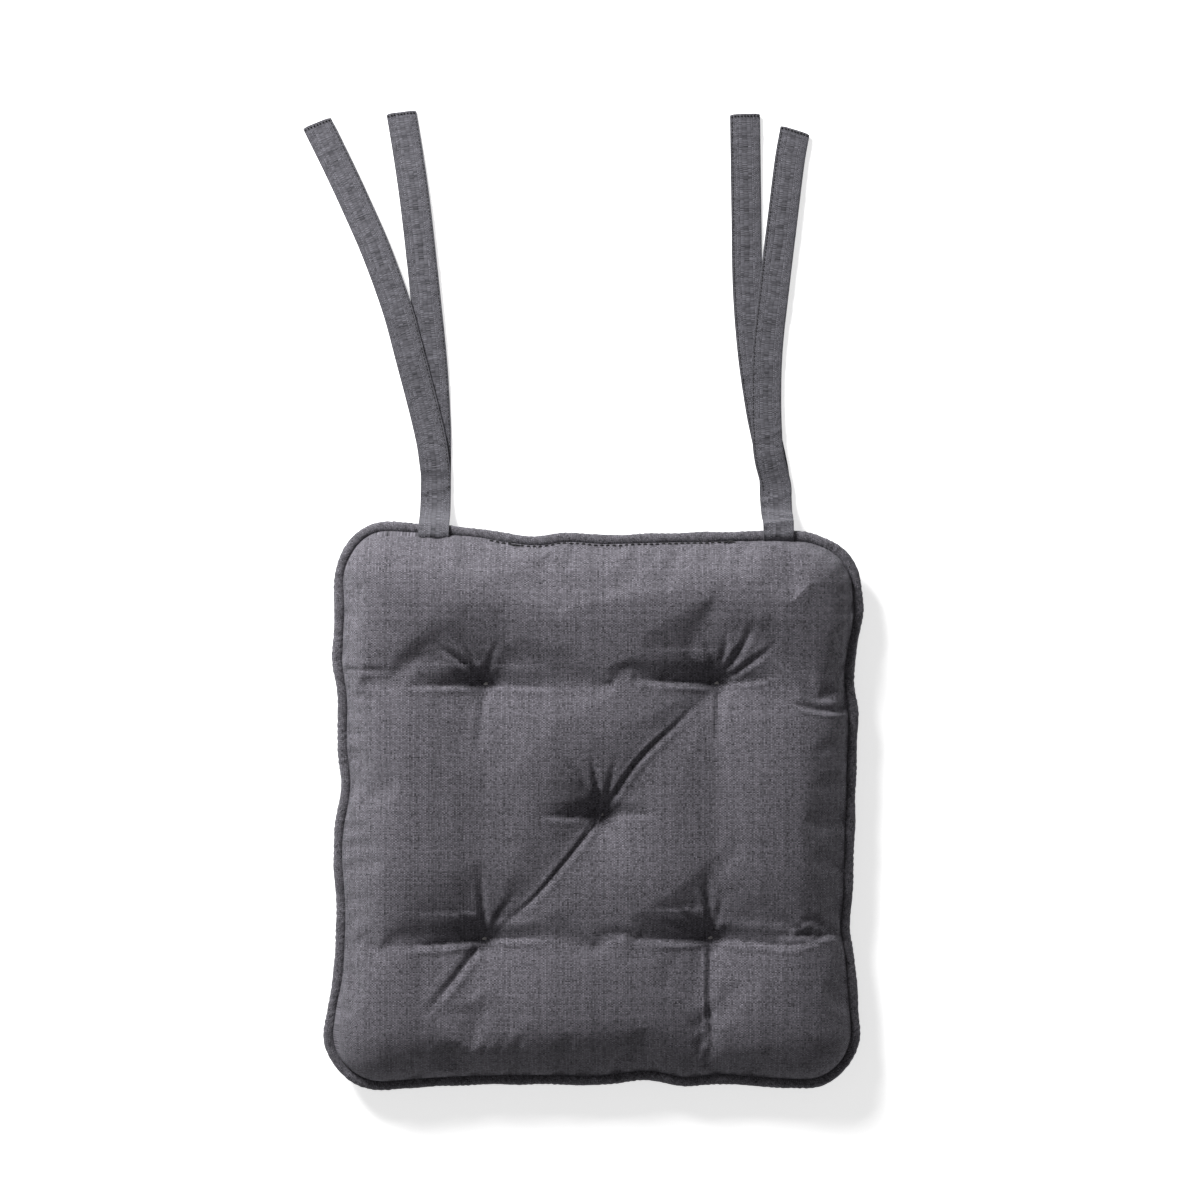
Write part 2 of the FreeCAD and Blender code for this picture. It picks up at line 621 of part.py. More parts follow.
def make_band(name, leg, right_edge, left_edge, height, low):
    """A flat band along a leg between two distances from its middle, positive to the right of its heading."""
    turn = size(f"{leg}_turn")
    outer, inner = (right_edge, left_edge) if turn > 0 else (f"-({left_edge})", f"-({right_edge})")
    bend = f"abs(Dims.{leg}_bend)"
    band = make_sector(name, f"{bend} + {outer}", f"{bend} + {inner}", height, f"abs(Dims.{leg}_turn)")
    start = size(f"{leg}_heading") + (0 if turn > 0 else 180 + turn)
    band.Placement.Rotation = FreeCAD.Rotation(FreeCAD.Vector(0, 0, 1), start)
    locate(band, f"Dims.{leg}_centre_x", f"Dims.{leg}_centre_y", low)
    return band


def make_tie_leg(leg):
    """One free leg of a tie, flat and gently curved, with a round start at its pivot."""
    low = f"Dims.{leg}_low"
    half = "Dims.tie_width / 2"
    band = make_band(f"{leg}_band", leg, half, f"-{half}", "Dims.tie_thickness", low)
    start = doc.addObject("Part::Cylinder", f"{leg}_start")
    bind(start, Radius=half, Height="Dims.tie_thickness")
    locate(start, f"Dims.tie_{leg_side(leg)}_at", "Dims.pivot_y", low)
    strip = combine("Fuse", f"{leg}_strip", band, start)
    strip.Label = leg
    return strip


def make_edge_stitching(leg):
    """The thread that closes a leg: along the edge next to the pad's middle, and across the free end."""
    low = f"Dims.{leg}_low + Dims.tie_thickness"
    outer = "(Dims.tie_width / 2 - Dims.edge_stitch_inset)"
    inner = f"({outer} - Dims.topstitch_width)"
    edges = (outer, inner) if leg_side(leg) == "left" else (f"-{inner}", f"-{outer}")
    along = make_band(f"{leg}_seam", leg, *edges, "Dims.topstitch_height", low)
    across = doc.addObject("Part::Box", f"{leg}_hem")
    length = "Dims.tie_width - 2 * Dims.edge_stitch_inset"
    bind(across, Length=length, Width="Dims.topstitch_width", Height="Dims.topstitch_height")
    heading = size(f"{leg}_heading") + size(f"{leg}_turn")
    across.Placement.Rotation = FreeCAD.Rotation(FreeCAD.Vector(0, 0, 1), heading)
    left, back = f"({outer})", "(Dims.edge_stitch_inset + Dims.topstitch_width)"
    facing = f"(Dims.{leg}_heading + Dims.{leg}_turn)"
    x = f"Dims.{leg}_end_x - {left} * cos{facing} + {back} * sin{facing}"
    y = f"Dims.{leg}_end_y - {left} * sin{facing} - {back} * cos{facing}"
    locate(across, x, y, low)
    stitching = combine("Fuse", f"{leg}_thread", along, across)
    stitching.Label = f"{leg}_stitching"
    return stitching


def export(parts):
    """Stops on a failed object or a bad shape, and then writes one STEP file for each sub-part."""
    failed = [item.Name for item in doc.Objects if {"Invalid", "Error"} & set(item.State)]
    if failed:
        raise RuntimeError(f"failed objects: {failed}")
    for part in parts:
        shape = part.Shape
        if shape.isNull() or not shape.isValid() or not shape.Solids:
            raise RuntimeError(f"{part.Label} has no valid solid")
    os.makedirs(PARTS_FOLDER, exist_ok=True)
    for part in parts:
        part.Shape.exportStep(os.path.join(PARTS_FOLDER, part.Label + ".step"))
        print(f"{part.Label}: {len(part.Shape.Solids)} solid, {part.Shape.Volume:.1f} mm3, {part.Shape.BoundBox}")


fill_sheet()
sub_parts = [
    make_top_panel(),
    make_bottom_panel(),
    make_fibre_fill(),
    make_piping_sleeve(),
    make_piping_cord(),
    make_perimeter_seam(),
    make_closing_seam(),
]
sub_parts += [make_tuft_thread(tuft) for tuft in TUFTS]
for pair in ("left", "right"):
    sub_parts += [make_tie_anchor(pair), make_tie_root(pair)]
for leg_name in LEGS:
    sub_parts += [make_tie_leg(leg_name), make_edge_stitching(leg_name)]
doc.recompute()
export(sub_parts)
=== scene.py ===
"""Looks of a tufted chair seat pad: puffed panels, piped edge, stitched tufts and two pairs of fabric ties.

Everything is in metres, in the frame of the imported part: +Z up, +Y towards the back edge with the ties, and
the origin in the middle of the face that the pad rests on.
"""

from __future__ import annotations

import logging
import math
from dataclasses import dataclass, field, replace
from enum import Enum

import bmesh
import bpy
import numpy as np
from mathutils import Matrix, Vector


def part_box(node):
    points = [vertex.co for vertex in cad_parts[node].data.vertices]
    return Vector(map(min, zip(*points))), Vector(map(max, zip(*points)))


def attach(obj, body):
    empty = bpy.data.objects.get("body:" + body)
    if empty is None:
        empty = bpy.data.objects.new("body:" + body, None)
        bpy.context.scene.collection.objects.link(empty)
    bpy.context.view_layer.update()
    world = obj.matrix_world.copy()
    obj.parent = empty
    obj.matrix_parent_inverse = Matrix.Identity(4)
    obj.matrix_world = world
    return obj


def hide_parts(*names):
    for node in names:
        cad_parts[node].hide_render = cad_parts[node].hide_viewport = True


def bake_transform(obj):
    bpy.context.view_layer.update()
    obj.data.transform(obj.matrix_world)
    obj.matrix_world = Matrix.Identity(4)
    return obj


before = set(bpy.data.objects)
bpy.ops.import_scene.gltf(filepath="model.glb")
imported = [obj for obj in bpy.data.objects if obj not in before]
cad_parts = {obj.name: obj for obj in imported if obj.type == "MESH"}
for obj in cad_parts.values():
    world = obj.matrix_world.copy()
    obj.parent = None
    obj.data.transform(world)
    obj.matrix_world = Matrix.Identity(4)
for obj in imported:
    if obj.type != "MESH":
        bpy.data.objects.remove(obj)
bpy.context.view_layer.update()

logging.basicConfig(level=logging.INFO, format="%(message)s")
log = logging.getLogger("seat_pad")

MM = 0.001
Points = tuple[tuple[float, float], ...]


class Side(Enum):
    """The two faces of the cushion."""

    TOP = 1
    BOTTOM = -1


class Pair(Enum):
    """The two places where ties are sewn in."""

    LEFT = "left"
    RIGHT = "right"


# ---------------------------------------------------------------- mesh helpers


def smooth_step(low: float, high: float, value: np.ndarray) -> np.ndarray:
    """Rises smoothly from 0 at low to 1 at high.

    Args:
        low: Where the rise starts.
        high: Where it ends.
        value: The values to map.

    Returns:
        The share risen, between 0 and 1.
    """
    share = np.clip((value - low) / (high - low), 0.0, 1.0)
    return share * share * (3.0 - 2.0 * share)


def spline(knots: np.ndarray, count: int) -> np.ndarray:
    """A smooth Catmull-Rom curve through knots, with evenly spaced points.

    Args:
        knots: The points to pass through, one to a row.
        count: How many points to return.

    Returns:
        The points of the curve, evenly spaced along it.
    """
    padded = np.vstack([2 * knots[0] - knots[1], knots, 2 * knots[-1] - knots[-2]])
    shares = np.linspace(0.0, 1.0, 24, endpoint=False)[:, None]
    pieces = []
    for a, b, c, d in zip(padded, padded[1:], padded[2:], padded[3:]):
        pieces.append(
            0.5 * (
                2 * b + (c - a) * shares + (
                    2 * a - 5 * b + 4 * c - d
                ) * shares**2 + (3 * b - a - 3 * c + d) * shares**3
            )
        )
    curve = np.vstack([*pieces, knots[-1:]])
    travelled = np.concatenate([[0.0], np.cumsum(np.linalg.norm(np.diff(curve, axis=0), axis=1))])
    even = np.linspace(0.0, travelled[-1], count)
    return np.column_stack([np.interp(even, travelled, curve[:, axis]) for axis in range(knots.shape[1])])


def upsampling(coarse: int, stride: int) -> np.ndarray:
    """Weights that draw a smooth curve through evenly spaced values.

    Args:
        coarse: How many values there are.
        stride: Steps from one value to the next.

    Returns:
        A matrix, fine places by coarse values.
    """
    fine = np.arange((coarse - 1) * stride + 1) / stride
    first = np.minimum(fine.astype(int), coarse - 2)
    t = fine - first
    weights = np.zeros((len(fine), coarse))
    shares = (-t + 2 * t**2 - t**3, 2 - 5 * t**2 + 3 * t**3, t + 4 * t**2 - 3 * t**3, -(t**2) + t**3)
    for offset, share in zip((-1, 0, 1, 2), shares):
        np.add.at(weights, (np.arange(len(fine)), np.clip(first + offset, 0, coarse - 1)), share / 2)
    return weights


def lattice(
    name: str, points: np.ndarray, weave: np.ndarray, rows_closed: bool = False, columns_closed: bool = False
) -> bpy.types.Object:
    """Builds a smooth quad mesh from a grid of points.

    Args:
        name: The name of the new piece.
        points: The grid, rows by columns by 3.
        weave: Fabric coordinates in millimetres, rows by columns by 2, one longer where the grid is closed.
        rows_closed: Whether the last row joins the first.
        columns_closed: Whether the last column joins the first.

    Returns:
        The new object, linked to the scene.
    """
    rows, columns = points.shape[:2]
    row, column = np.meshgrid(
        np.arange(rows if rows_closed else rows - 1),
        np.arange(columns if columns_closed else columns - 1),
        indexing="ij",
    )
    row, column = row.ravel(), column.ravel()
    corners = [(row, column), (row, column + 1), (row + 1, column + 1), (row + 1, column)]
    quads = np.column_stack([(r % rows) * columns + (c % columns) for r, c in corners])
    mesh = bpy.data.meshes.new(name)
    mesh.from_pydata(points.reshape(-1, 3).tolist(), [], quads.tolist())
    layer = mesh.uv_layers.new(name="Weave")
    coordinates = np.stack([weave[r, c] for r, c in corners], axis=1).reshape(-1, 2)
    layer.data.foreach_set("uv", coordinates.astype(np.float32).ravel())
    mesh.shade_smooth()
    mesh.update()
    piece = bpy.data.objects.new(name, mesh)
    bpy.context.collection.objects.link(piece)
    return piece


def joined(name: str, pieces: list[bpy.types.Object]) -> bpy.types.Object:
    """Joins several new objects into one.

    Args:
        name: The name of the result.
        pieces: The objects, all without a parent.

    Returns:
        The joined object.
    """
    with bpy.context.temp_override(
        active_object=pieces[0], selected_editable_objects=pieces, selected_objects=pieces
    ):
        bpy.ops.object.join()
    pieces[0].name = name
    pieces[0].data.name = name
    return pieces[0]


def finish_piece(piece: bpy.types.Object, finish: "Finish", slot: str, *nodes: str) -> bpy.types.Object:
    """Gives a piece its material and hides the nodes that it stands for.

    Args:
        piece: The new piece.
        finish: What it is made of.
        slot: The record's material slot; not used.
        nodes: The nodes that it replaces.

    Returns:
        The same piece.
    """
    piece.data.materials.clear()
    piece.data.materials.append(finish.material())
    if nodes:
        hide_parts(*nodes)
    return piece


# ---------------------------------------------------------------- finishes


class NodeBench:
    """Short calls for wiring a material's nodes."""

    def __init__(self, name: str) -> None:
        """Starts a material of that name with only its output and shader."""
        self.material = bpy.data.materials.new(name)
        self.material.use_nodes = True
        self.tree = self.material.node_tree
        self.shader = self.tree.nodes["Principled BSDF"]

    def link(self, source: object, target: object) -> None:
        """Sets an input from another node's socket, or from a plain value."""
        if isinstance(source, bpy.types.NodeSocket):
            self.tree.links.new(source, target)
        else:
            target.default_value = source

    def node(
        self, kind: str, inputs: dict[int | str, object] | None = None, **settings: object
    ) -> bpy.types.Node:
        """Adds a node.

        Args:
            kind: The node's type name, without its ShaderNode prefix.
            inputs: Values or sockets for its inputs.
            settings: Its attributes.

        Returns:
            The new node.
        """
        made = self.tree.nodes.new("ShaderNode" + kind)
        for key, value in settings.items():
            setattr(made, key, value)
        for key, value in (inputs or {}).items():
            self.link(value, made.inputs[key])
        return made

    def math(self, operation: str, *values: object) -> bpy.types.NodeSocket:
        """Adds a maths node and returns its result."""
        return self.node("Math", dict(enumerate(values)), operation=operation).outputs[0]

    def mix(self, share: object, first: object, second: object) -> bpy.types.NodeSocket:
        """Mixes two colours and returns the result."""
        made = self.node("Mix", data_type="RGBA")
        for value, socket in zip((share, first, second), (made.inputs[0], made.inputs[6], made.inputs[7])):
            self.link(value, socket)
        return made.outputs[2]

    def noise(
        self, vector: object, scale: float, detail: float = 3.0, roughness: float = 0.55
    ) -> bpy.types.NodeSocket:
        """Adds a noise texture and returns its value."""
        inputs = {"Vector": vector, "Scale": scale, "Detail": detail, "Roughness": roughness}
        return self.node("TexNoise", inputs).outputs[0]


class Finish:
    """What a piece is made of. Each finish makes its material once."""

    def material(self) -> bpy.types.Material:
        """The material of this finish."""
        name = self.name
        return bpy.data.materials.get(name) or self.build()

    def build(self) -> bpy.types.Material:
        """Makes the material."""
        raise NotImplementedError


@dataclass(frozen=True)
class WovenCotton(Finish):
    """Plain weave cotton: round threads that cross over and under, with slubs and a little nap."""

    name: str
    colour: tuple[float, float, float]
    pitch: float = 1.2
    row_share: float = 0.75
    # painted light: the warp threads are painted lighter than the weft so that the crossings show as they do
    # in light and shade; both yarns have the same tone
    warp_painted_light: float = 0.3
    turn: float = 0.0
    thread_contrast: float = 2.1
    relief: float = 0.00022

    def build(self) -> bpy.types.Material:
        """Makes the weave from the fabric coordinates, which are in millimetres."""
        bench = NodeBench(self.name)
        coordinates = bench.node("UVMap", uv_map="Weave").outputs[0]
        object_place = bench.node("TexCoord").outputs["Object"]
        drift = bench.node("TexNoise", {"Vector": coordinates, "Scale": 0.06, "Detail": 2.0})
        wobble = drift.outputs["Color"]
        wander = bench.node("VectorMath", {0: wobble, 1: (1.6, 1.6, 0.0)}, operation="MULTIPLY").outputs[0]
        placed = bench.node("VectorMath", {0: coordinates, 1: wander}, operation="ADD").outputs[0]
        rotation = {"Vector": placed, "Angle": math.radians(self.turn)}
        turned = bench.node("VectorRotate", rotation, rotation_type="Z_AXIS").outputs[0]
        threads = (1.0 / self.pitch, 1.0 / (self.pitch * self.row_share), 1.0)
        scaled = bench.node("VectorMath", {0: turned, 1: threads}, operation="MULTIPLY").outputs[0]
        split = bench.node("SeparateXYZ", {0: scaled}).outputs
        across, along = split[0], split[1]
        columns, rows = bench.math("FLOOR", across), bench.math("FLOOR", along)
        warp_round = bench.math("ABSOLUTE", bench.math("SINE", bench.math("MULTIPLY", across, math.pi)))
        weft_round = bench.math("ABSOLUTE", bench.math("SINE", bench.math("MULTIPLY", along, math.pi)))
        over = bench.math("FLOORED_MODULO", bench.math("ADD", columns, rows), 2.0)
        under = bench.math("SUBTRACT", 1.0, over)
        warp_top = bench.math(
            "MULTIPLY",
            bench.math(
                "MULTIPLY", warp_round, bench.math("ADD", bench.math("MULTIPLY", weft_round, 0.5), 0.5)
            ),
            over,
        )
        weft_top = bench.math(
            "MULTIPLY",
            bench.math(
                "MULTIPLY", weft_round, bench.math("ADD", bench.math("MULTIPLY", warp_round, 0.5), 0.5)
            ),
            under,
        )
        height = bench.math("ADD", warp_top, weft_top)
        warp_tone = self.thread_tone(bench, columns, along)
        weft_tone = self.thread_tone(bench, rows, across)
        tone = bench.math(
            "ADD", bench.math("MULTIPLY", warp_tone, over), bench.math("MULTIPLY", weft_tone, under)
        )
        cloudy = bench.noise(object_place, 14.0, 4.0)
        fuzz = bench.noise(coordinates, 1.3, 3.0, 0.7)
        level = bench.math("MULTIPLY_ADD", bench.math("SUBTRACT", tone, 0.5), self.thread_contrast * 2.0, 1.0)
        # painted shade: the colour follows the thread height, darker in the hollows between threads and
        # lighter on their crowns
        level = bench.math("MULTIPLY", level, bench.math("MULTIPLY_ADD", height, 0.42, 0.72))
        level = bench.math("MULTIPLY", level, bench.math("MULTIPLY_ADD", cloudy, 0.22, 0.89))
        level = bench.math("MULTIPLY", level, bench.math("MULTIPLY_ADD", fuzz, 0.6, 0.7))
        # painted light and shade: warp threads lighter, weft threads darker
        warp_shade_factor = bench.math("MULTIPLY_ADD", over, self.warp_painted_light, 1.0 - self.warp_painted_light / 2)
        level = bench.math("MAXIMUM", bench.math("MULTIPLY", level, warp_shade_factor), 0.18)
        base = bench.node("VectorMath", {0: (*self.colour,), 3: level}, operation="SCALE").outputs[0]
        # painted highlight: convex edges and folds, found by pointiness, are painted lighter, up to one and a
        # half times the cloth colour
        highlight_colour = tuple(min(1.0, channel * 1.5 + 0.01) for channel in self.colour)
        edge_pointiness = bench.math("MULTIPLY", bench.node("NewGeometry").outputs["Pointiness"], 1.0)
        edge_highlight = bench.node("MapRange", {0: edge_pointiness, 1: 0.53, 2: 0.62, 3: 0.0, 4: 0.35}).outputs[0]
        bench.link(bench.mix(edge_highlight, base, (*highlight_colour, 1.0)), bench.shader.inputs["Base Color"])
        relief = bench.math("ADD", height, bench.math("MULTIPLY", fuzz, 0.7))
        bump = bench.node("Bump", {"Height": relief, "Strength": 0.85, "Distance": self.relief})
        bench.link(bump.outputs[0], bench.shader.inputs["Normal"])
        bench.shader.inputs["Roughness"].default_value = 0.92
        bench.shader.inputs["Specular IOR Level"].default_value = 0.18
        bench.shader.inputs["Sheen Weight"].default_value = 0.16
        bench.shader.inputs["Sheen Roughness"].default_value = 0.55
        bench.shader.inputs["Sheen Tint"].default_value = (0.82, 0.83, 0.9, 1.0)
        return bench.material

    def thread_tone(self, bench: NodeBench, number: object, along: object) -> bpy.types.NodeSocket:
        """How light a thread is at a place: its own dye, and slubs along it.

        Args:
            bench: The material being wired.
            number: The number of the thread.
            along: The place along it, in threads.

        Returns:
            A value round 0.5.
        """
        own = bench.node("TexWhiteNoise", {"W": number}, noise_dimensions="1D").outputs["Value"]
        slow = bench.math("MULTIPLY", along, 0.3)
        place = bench.node("CombineXYZ", {0: slow, 1: bench.math("MULTIPLY", number, 7.31)}).outputs[0]
        slub = bench.noise(place, 1.0, 3.0, 0.7)
        crossing = bench.node("CombineXYZ", {0: number, 1: bench.math("FLOOR", along)}).outputs[0]
        spot = bench.node("TexWhiteNoise", {"Vector": crossing}, noise_dimensions="3D").outputs["Value"]
        even = bench.math("ADD", bench.math("MULTIPLY", own, 0.12), bench.math("MULTIPLY", slub, 0.76))
        return bench.math("ADD", even, bench.math("MULTIPLY", spot, 0.12))


@dataclass(frozen=True)
class SpunThread(Finish):
    """Sewing thread or twine: plies that wind round it."""

    name: str
    colour: tuple[float, float, float]
    plies: float = 1.3

    def build(self) -> bpy.types.Material:
        """Makes diagonal plies along the thread."""
        bench = NodeBench(self.name)
        coordinates = bench.node("UVMap", uv_map="Weave").outputs[0]
        split = bench.node("SeparateXYZ", {0: coordinates}).outputs
        slant = bench.math(
            "ADD",
            bench.math("MULTIPLY", split[0], self.plies * math.tau),
            bench.math("MULTIPLY", split[1], math.tau),
        )
        twist = bench.math("MULTIPLY_ADD", bench.math("SINE", slant), 0.5, 0.5)
        fibre = bench.noise(coordinates, 5.0, 3.0)
        level = bench.math("ADD", bench.math("MULTIPLY", twist, 0.45), bench.math("MULTIPLY", fibre, 0.5))
        dark = tuple(channel * 0.45 for channel in self.colour)
        light = tuple(min(1.0, channel * 1.5) for channel in self.colour)
        bench.link(bench.mix(level, (*dark, 1.0), (*light, 1.0)), bench.shader.inputs["Base Color"])
        bump = bench.node("Bump", {"Height": level, "Strength": 0.8, "Distance": 0.00012})
        bench.link(bump.outputs[0], bench.shader.inputs["Normal"])
        bench.shader.inputs["Roughness"].default_value = 0.8
        bench.shader.inputs["Specular IOR Level"].default_value = 0.3
        bench.shader.inputs["Sheen Weight"].default_value = 0.15
        return bench.material


@dataclass(frozen=True)
class FibreFill(Finish):
    """Loose polyester fibre: white, matt and fluffy."""

    name: str = "polyester_fibre"
    colour: tuple[float, float, float] = (0.78, 0.77, 0.74)

    def build(self) -> bpy.types.Material:
        """Makes tangled fibres from stretched noise."""
        bench = NodeBench(self.name)
        place = bench.node("TexCoord").outputs["Object"]
        clumps = bench.noise(place, 60.0, 4.0)
        strands = bench.noise(
            bench.node("VectorMath", {0: place, 1: (900.0, 160.0, 400.0)}, operation="MULTIPLY").outputs[0],
            1.0,
            3.0,
        )
        dark = tuple(channel * 0.7 for channel in self.colour)
        level = bench.math("MULTIPLY_ADD", strands, 0.5, bench.math("MULTIPLY", clumps, 0.5))
        bench.link(bench.mix(level, (*dark, 1.0), (*self.colour, 1.0)), bench.shader.inputs["Base Color"])
        bump = bench.node("Bump", {"Height": level, "Strength": 1.0, "Distance": 0.001})
        bench.link(bump.outputs[0], bench.shader.inputs["Normal"])
        bench.shader.inputs["Roughness"].default_value = 0.95
        bench.shader.inputs["Sheen Weight"].default_value = 0.3
        return bench.material


@dataclass(frozen=True)
class StudioPaper(Finish):
    """The pale seamless paper that the pad lies on."""

    name: str = "studio_paper"
    colour: tuple[float, float, float] = (0.92, 0.92, 0.92)
    glow: float = 0.6

    def build(self) -> bpy.types.Material:
        """Makes matt paper with a very faint tooth."""
        bench = NodeBench(self.name)
        tooth = bench.noise(bench.node("TexCoord").outputs["Object"], 900.0, 2.0)
        light = (*self.colour, 1.0)
        bench.link(
            bench.mix(bench.math("MULTIPLY", tooth, 0.05), light, (0.85, 0.85, 0.85, 1.0)),
            bench.shader.inputs["Base Color"],
        )
        bench.shader.inputs["Roughness"].default_value = 1.0
        bench.shader.inputs["Specular IOR Level"].default_value = 0.0
        bench.shader.inputs["Emission Color"].default_value = (1.0, 1.0, 1.0, 1.0)
        bench.shader.inputs["Emission Strength"].default_value = self.glow
        return bench.material


PANEL_COTTON = WovenCotton("charcoal_cotton", (0.093, 0.0875, 0.101))
UNDER_COTTON = WovenCotton("charcoal_cotton_underside", (0.09, 0.085, 0.098))
BIAS_COTTON = WovenCotton("charcoal_cotton_bias", (0.083, 0.079, 0.09), turn=45.0)
TIE_COTTON = WovenCotton("charcoal_cotton_tie", (0.082, 0.08, 0.091), pitch=1.0, thread_contrast=1.9)
# sewing thread painted much darker than the cloth: partly the thread's own charcoal tone, partly painted
# shade of the stitch holes
THREAD_WITH_HOLE_SHADE = SpunThread("charcoal_thread_hole_shade", (0.018, 0.0175, 0.02))
PIPING_CORD = SpunThread("white_piping_cord", (0.66, 0.64, 0.6), 0.25)
TUFT_TWINE = SpunThread("grey_twine", (0.42, 0.4, 0.4), plies=0.7)
WADDING = FibreFill()


# ---------------------------------------------------------------- outline of the pad


@dataclass(frozen=True)
class Outline:
    """The pad's plan: a rounded rectangle whose edge wanders, as filled fabric does.

    A place on the edge is a side and a share. Sides run counter-clockwise from the right side, and the share
    runs from -1 to 1 along each, from the middle of one corner to the middle of the next.
    """

    half_width: float
    half_depth: float
    corner: float = 42 * MM
    # the edge wanders in full down to this inset, and then less and less over this distance
    wander_inset: float = 8 * MM
    wander_fade: float = 45 * MM
    # place along the edge in sides from the front right corner, and how far the edge stands out, in mm
    wander: Points = (
        (0.03, -0.5), (0.13, -3), (0.22, -6), (0.27, -9), (0.33, -7), (0.42, -6), (0.5, -5), (0.6, -4),
        (0.68, -3), (0.74, -6), (0.8, -4), (0.87, 0.5), (0.94, -1), (1.04, -4), (1.12, -2), (1.25, -3),
        (1.38, -4), (1.48, -5), (1.56, -3.5), (1.62, -6), (1.68, -4), (1.75, 0), (1.86, 3), (1.95, 4.5),
        (2.03, 0), (2.12, -2), (2.22, -0.5), (2.29, -4), (2.38, -4), (2.46, -6.5), (2.54, -2),
        (2.6, -1), (2.68, -3), (2.73, -3), (2.82, -1), (2.88, 3), (2.95, 6.5), (3.02, 5.5), (3.1, 2),
        (3.25, -1), (3.4, -1.5), (3.5, -1), (3.6, -4.5), (3.68, 0), (3.75, -2), (3.83, 0), (3.94, 1.5),
    )

    def stand_out(self, place: np.ndarray) -> np.ndarray:
        """How far the edge stands out from its plain line.

        Args:
            place: Side number plus share of that side, from 0 to 4.

        Returns:
            The distance outwards, in metres.
        """
        knots = np.array(self.wander)
        around = np.vstack([knots[-3:] - [4, 0], knots, knots[:3] + [4, 0]])
        fine = spline(around, 4000)
        return np.interp(np.mod(place, 4.0), fine[:, 0], fine[:, 1]) * MM

    def ring(self, side: np.ndarray, share: np.ndarray, inset: np.ndarray) -> tuple[np.ndarray, np.ndarray]:
        """Points of the outline, moved inwards.

        Args:
            side: Side number, 0 to 3.
            share: Place along the side, -1 to 1.
            inset: Distance inwards from the outside of the piping.

        Returns:
            The plan points and the directions that face outwards there.
        """
        upright = side % 2 == 0
        out = np.where(upright, self.half_width, self.half_depth) - inset
        run = np.where(upright, self.half_depth, self.half_width) - inset
        radius = np.maximum(self.corner - inset, 1e-6)
        straight = run - radius
        travelled = np.abs(share) * (straight + radius * math.pi / 4)
        turn = np.clip((travelled - straight) / radius, 0.0, math.pi / 4)
        outwards = out - radius + radius * np.cos(turn)
        sideways = np.sign(share) * (np.minimum(travelled, straight) + radius * np.sin(turn))
        facing = np.stack([np.cos(turn), np.sign(share) * np.sin(turn)], axis=-1)
        place = side + (share + 1) / 2
        fade = np.exp(-np.maximum(inset - self.wander_inset, 0.0) / self.wander_fade)
        shift = self.stand_out(place) * fade
        local = np.stack([outwards + facing[..., 0] * shift, sideways + facing[..., 1] * shift], axis=-1)
        angle = side * math.pi / 2
        outer = np.stack([np.cos(angle), np.sin(angle)], axis=-1)
        turned = [outer, np.stack([-np.sin(angle), np.cos(angle)], axis=-1)]
        points = local[..., :1] * turned[0] + local[..., 1:] * turned[1]
        normals = facing[..., :1] * turned[0] + facing[..., 1:] * turned[1]
        return points, normals


@dataclass(frozen=True)
class Crease:
    """A fold line in the top panel: given points in millimetres, and the shape of the groove."""

    points: Points
    depth: float
    width: float = 5.0
    lean: float = 1.0
    swell: float = 0.25

    def press(self, plan: np.ndarray) -> np.ndarray:
        """How far the fold moves the panel.

        Args:
            plan: Plan points in millimetres, in any grid, with 2 as the last axis.

        Returns:
            The change of height in millimetres, negative in the groove.
        """
        line = spline(np.array(self.points, float), 28)
        flat = plan.reshape(-1, 2)
        near = np.flatnonzero(
            (np.abs(flat[:, 0] - line[:, 0].mean()) < np.ptp(line[:, 0]) / 2 + 6 * self.width)
            & (np.abs(flat[:, 1] - line[:, 1].mean()) < np.ptp(line[:, 1]) / 2 + 6 * self.width)
        )
        spots = flat[near]
        best = np.full(len(near), np.inf)
        signed, share = np.zeros(len(near)), np.zeros(len(near))
        for number, (start, end) in enumerate(zip(line, line[1:])):
            run = end - start
            along = np.clip(((spots - start) @ run) / (run @ run), 0.0, 1.0)
            off = spots - start - along[:, None] * run
            distance = np.hypot(off[:, 0], off[:, 1])
            closer = distance < best
            best = np.where(closer, distance, best)
            side = np.sign(run[0] * off[:, 1] - run[1] * off[:, 0])
            signed = np.where(closer, side * distance, signed)
            share = np.where(closer, (number + along) / (len(line) - 1), share)
        reach = self.width * np.where(signed > 0, self.lean, 1.0 / self.lean)
        ends = smooth_step(0.0, 0.04, share) * smooth_step(1.0, 0.35, share)
        groove = -0.5 * np.exp(-np.abs(signed) / (0.3 * reach)) - 0.5 * np.exp(
            -((signed / (1.5 * reach)) ** 2)
        )
        lips = np.exp(-(((np.abs(signed) - 2.6 * reach) / (1.1 * reach)) ** 2))
        moved = np.zeros(len(flat))
        moved[near] = self.depth * ends * (groove + self.swell * lips)
        return moved.reshape(plan.shape[:-1])


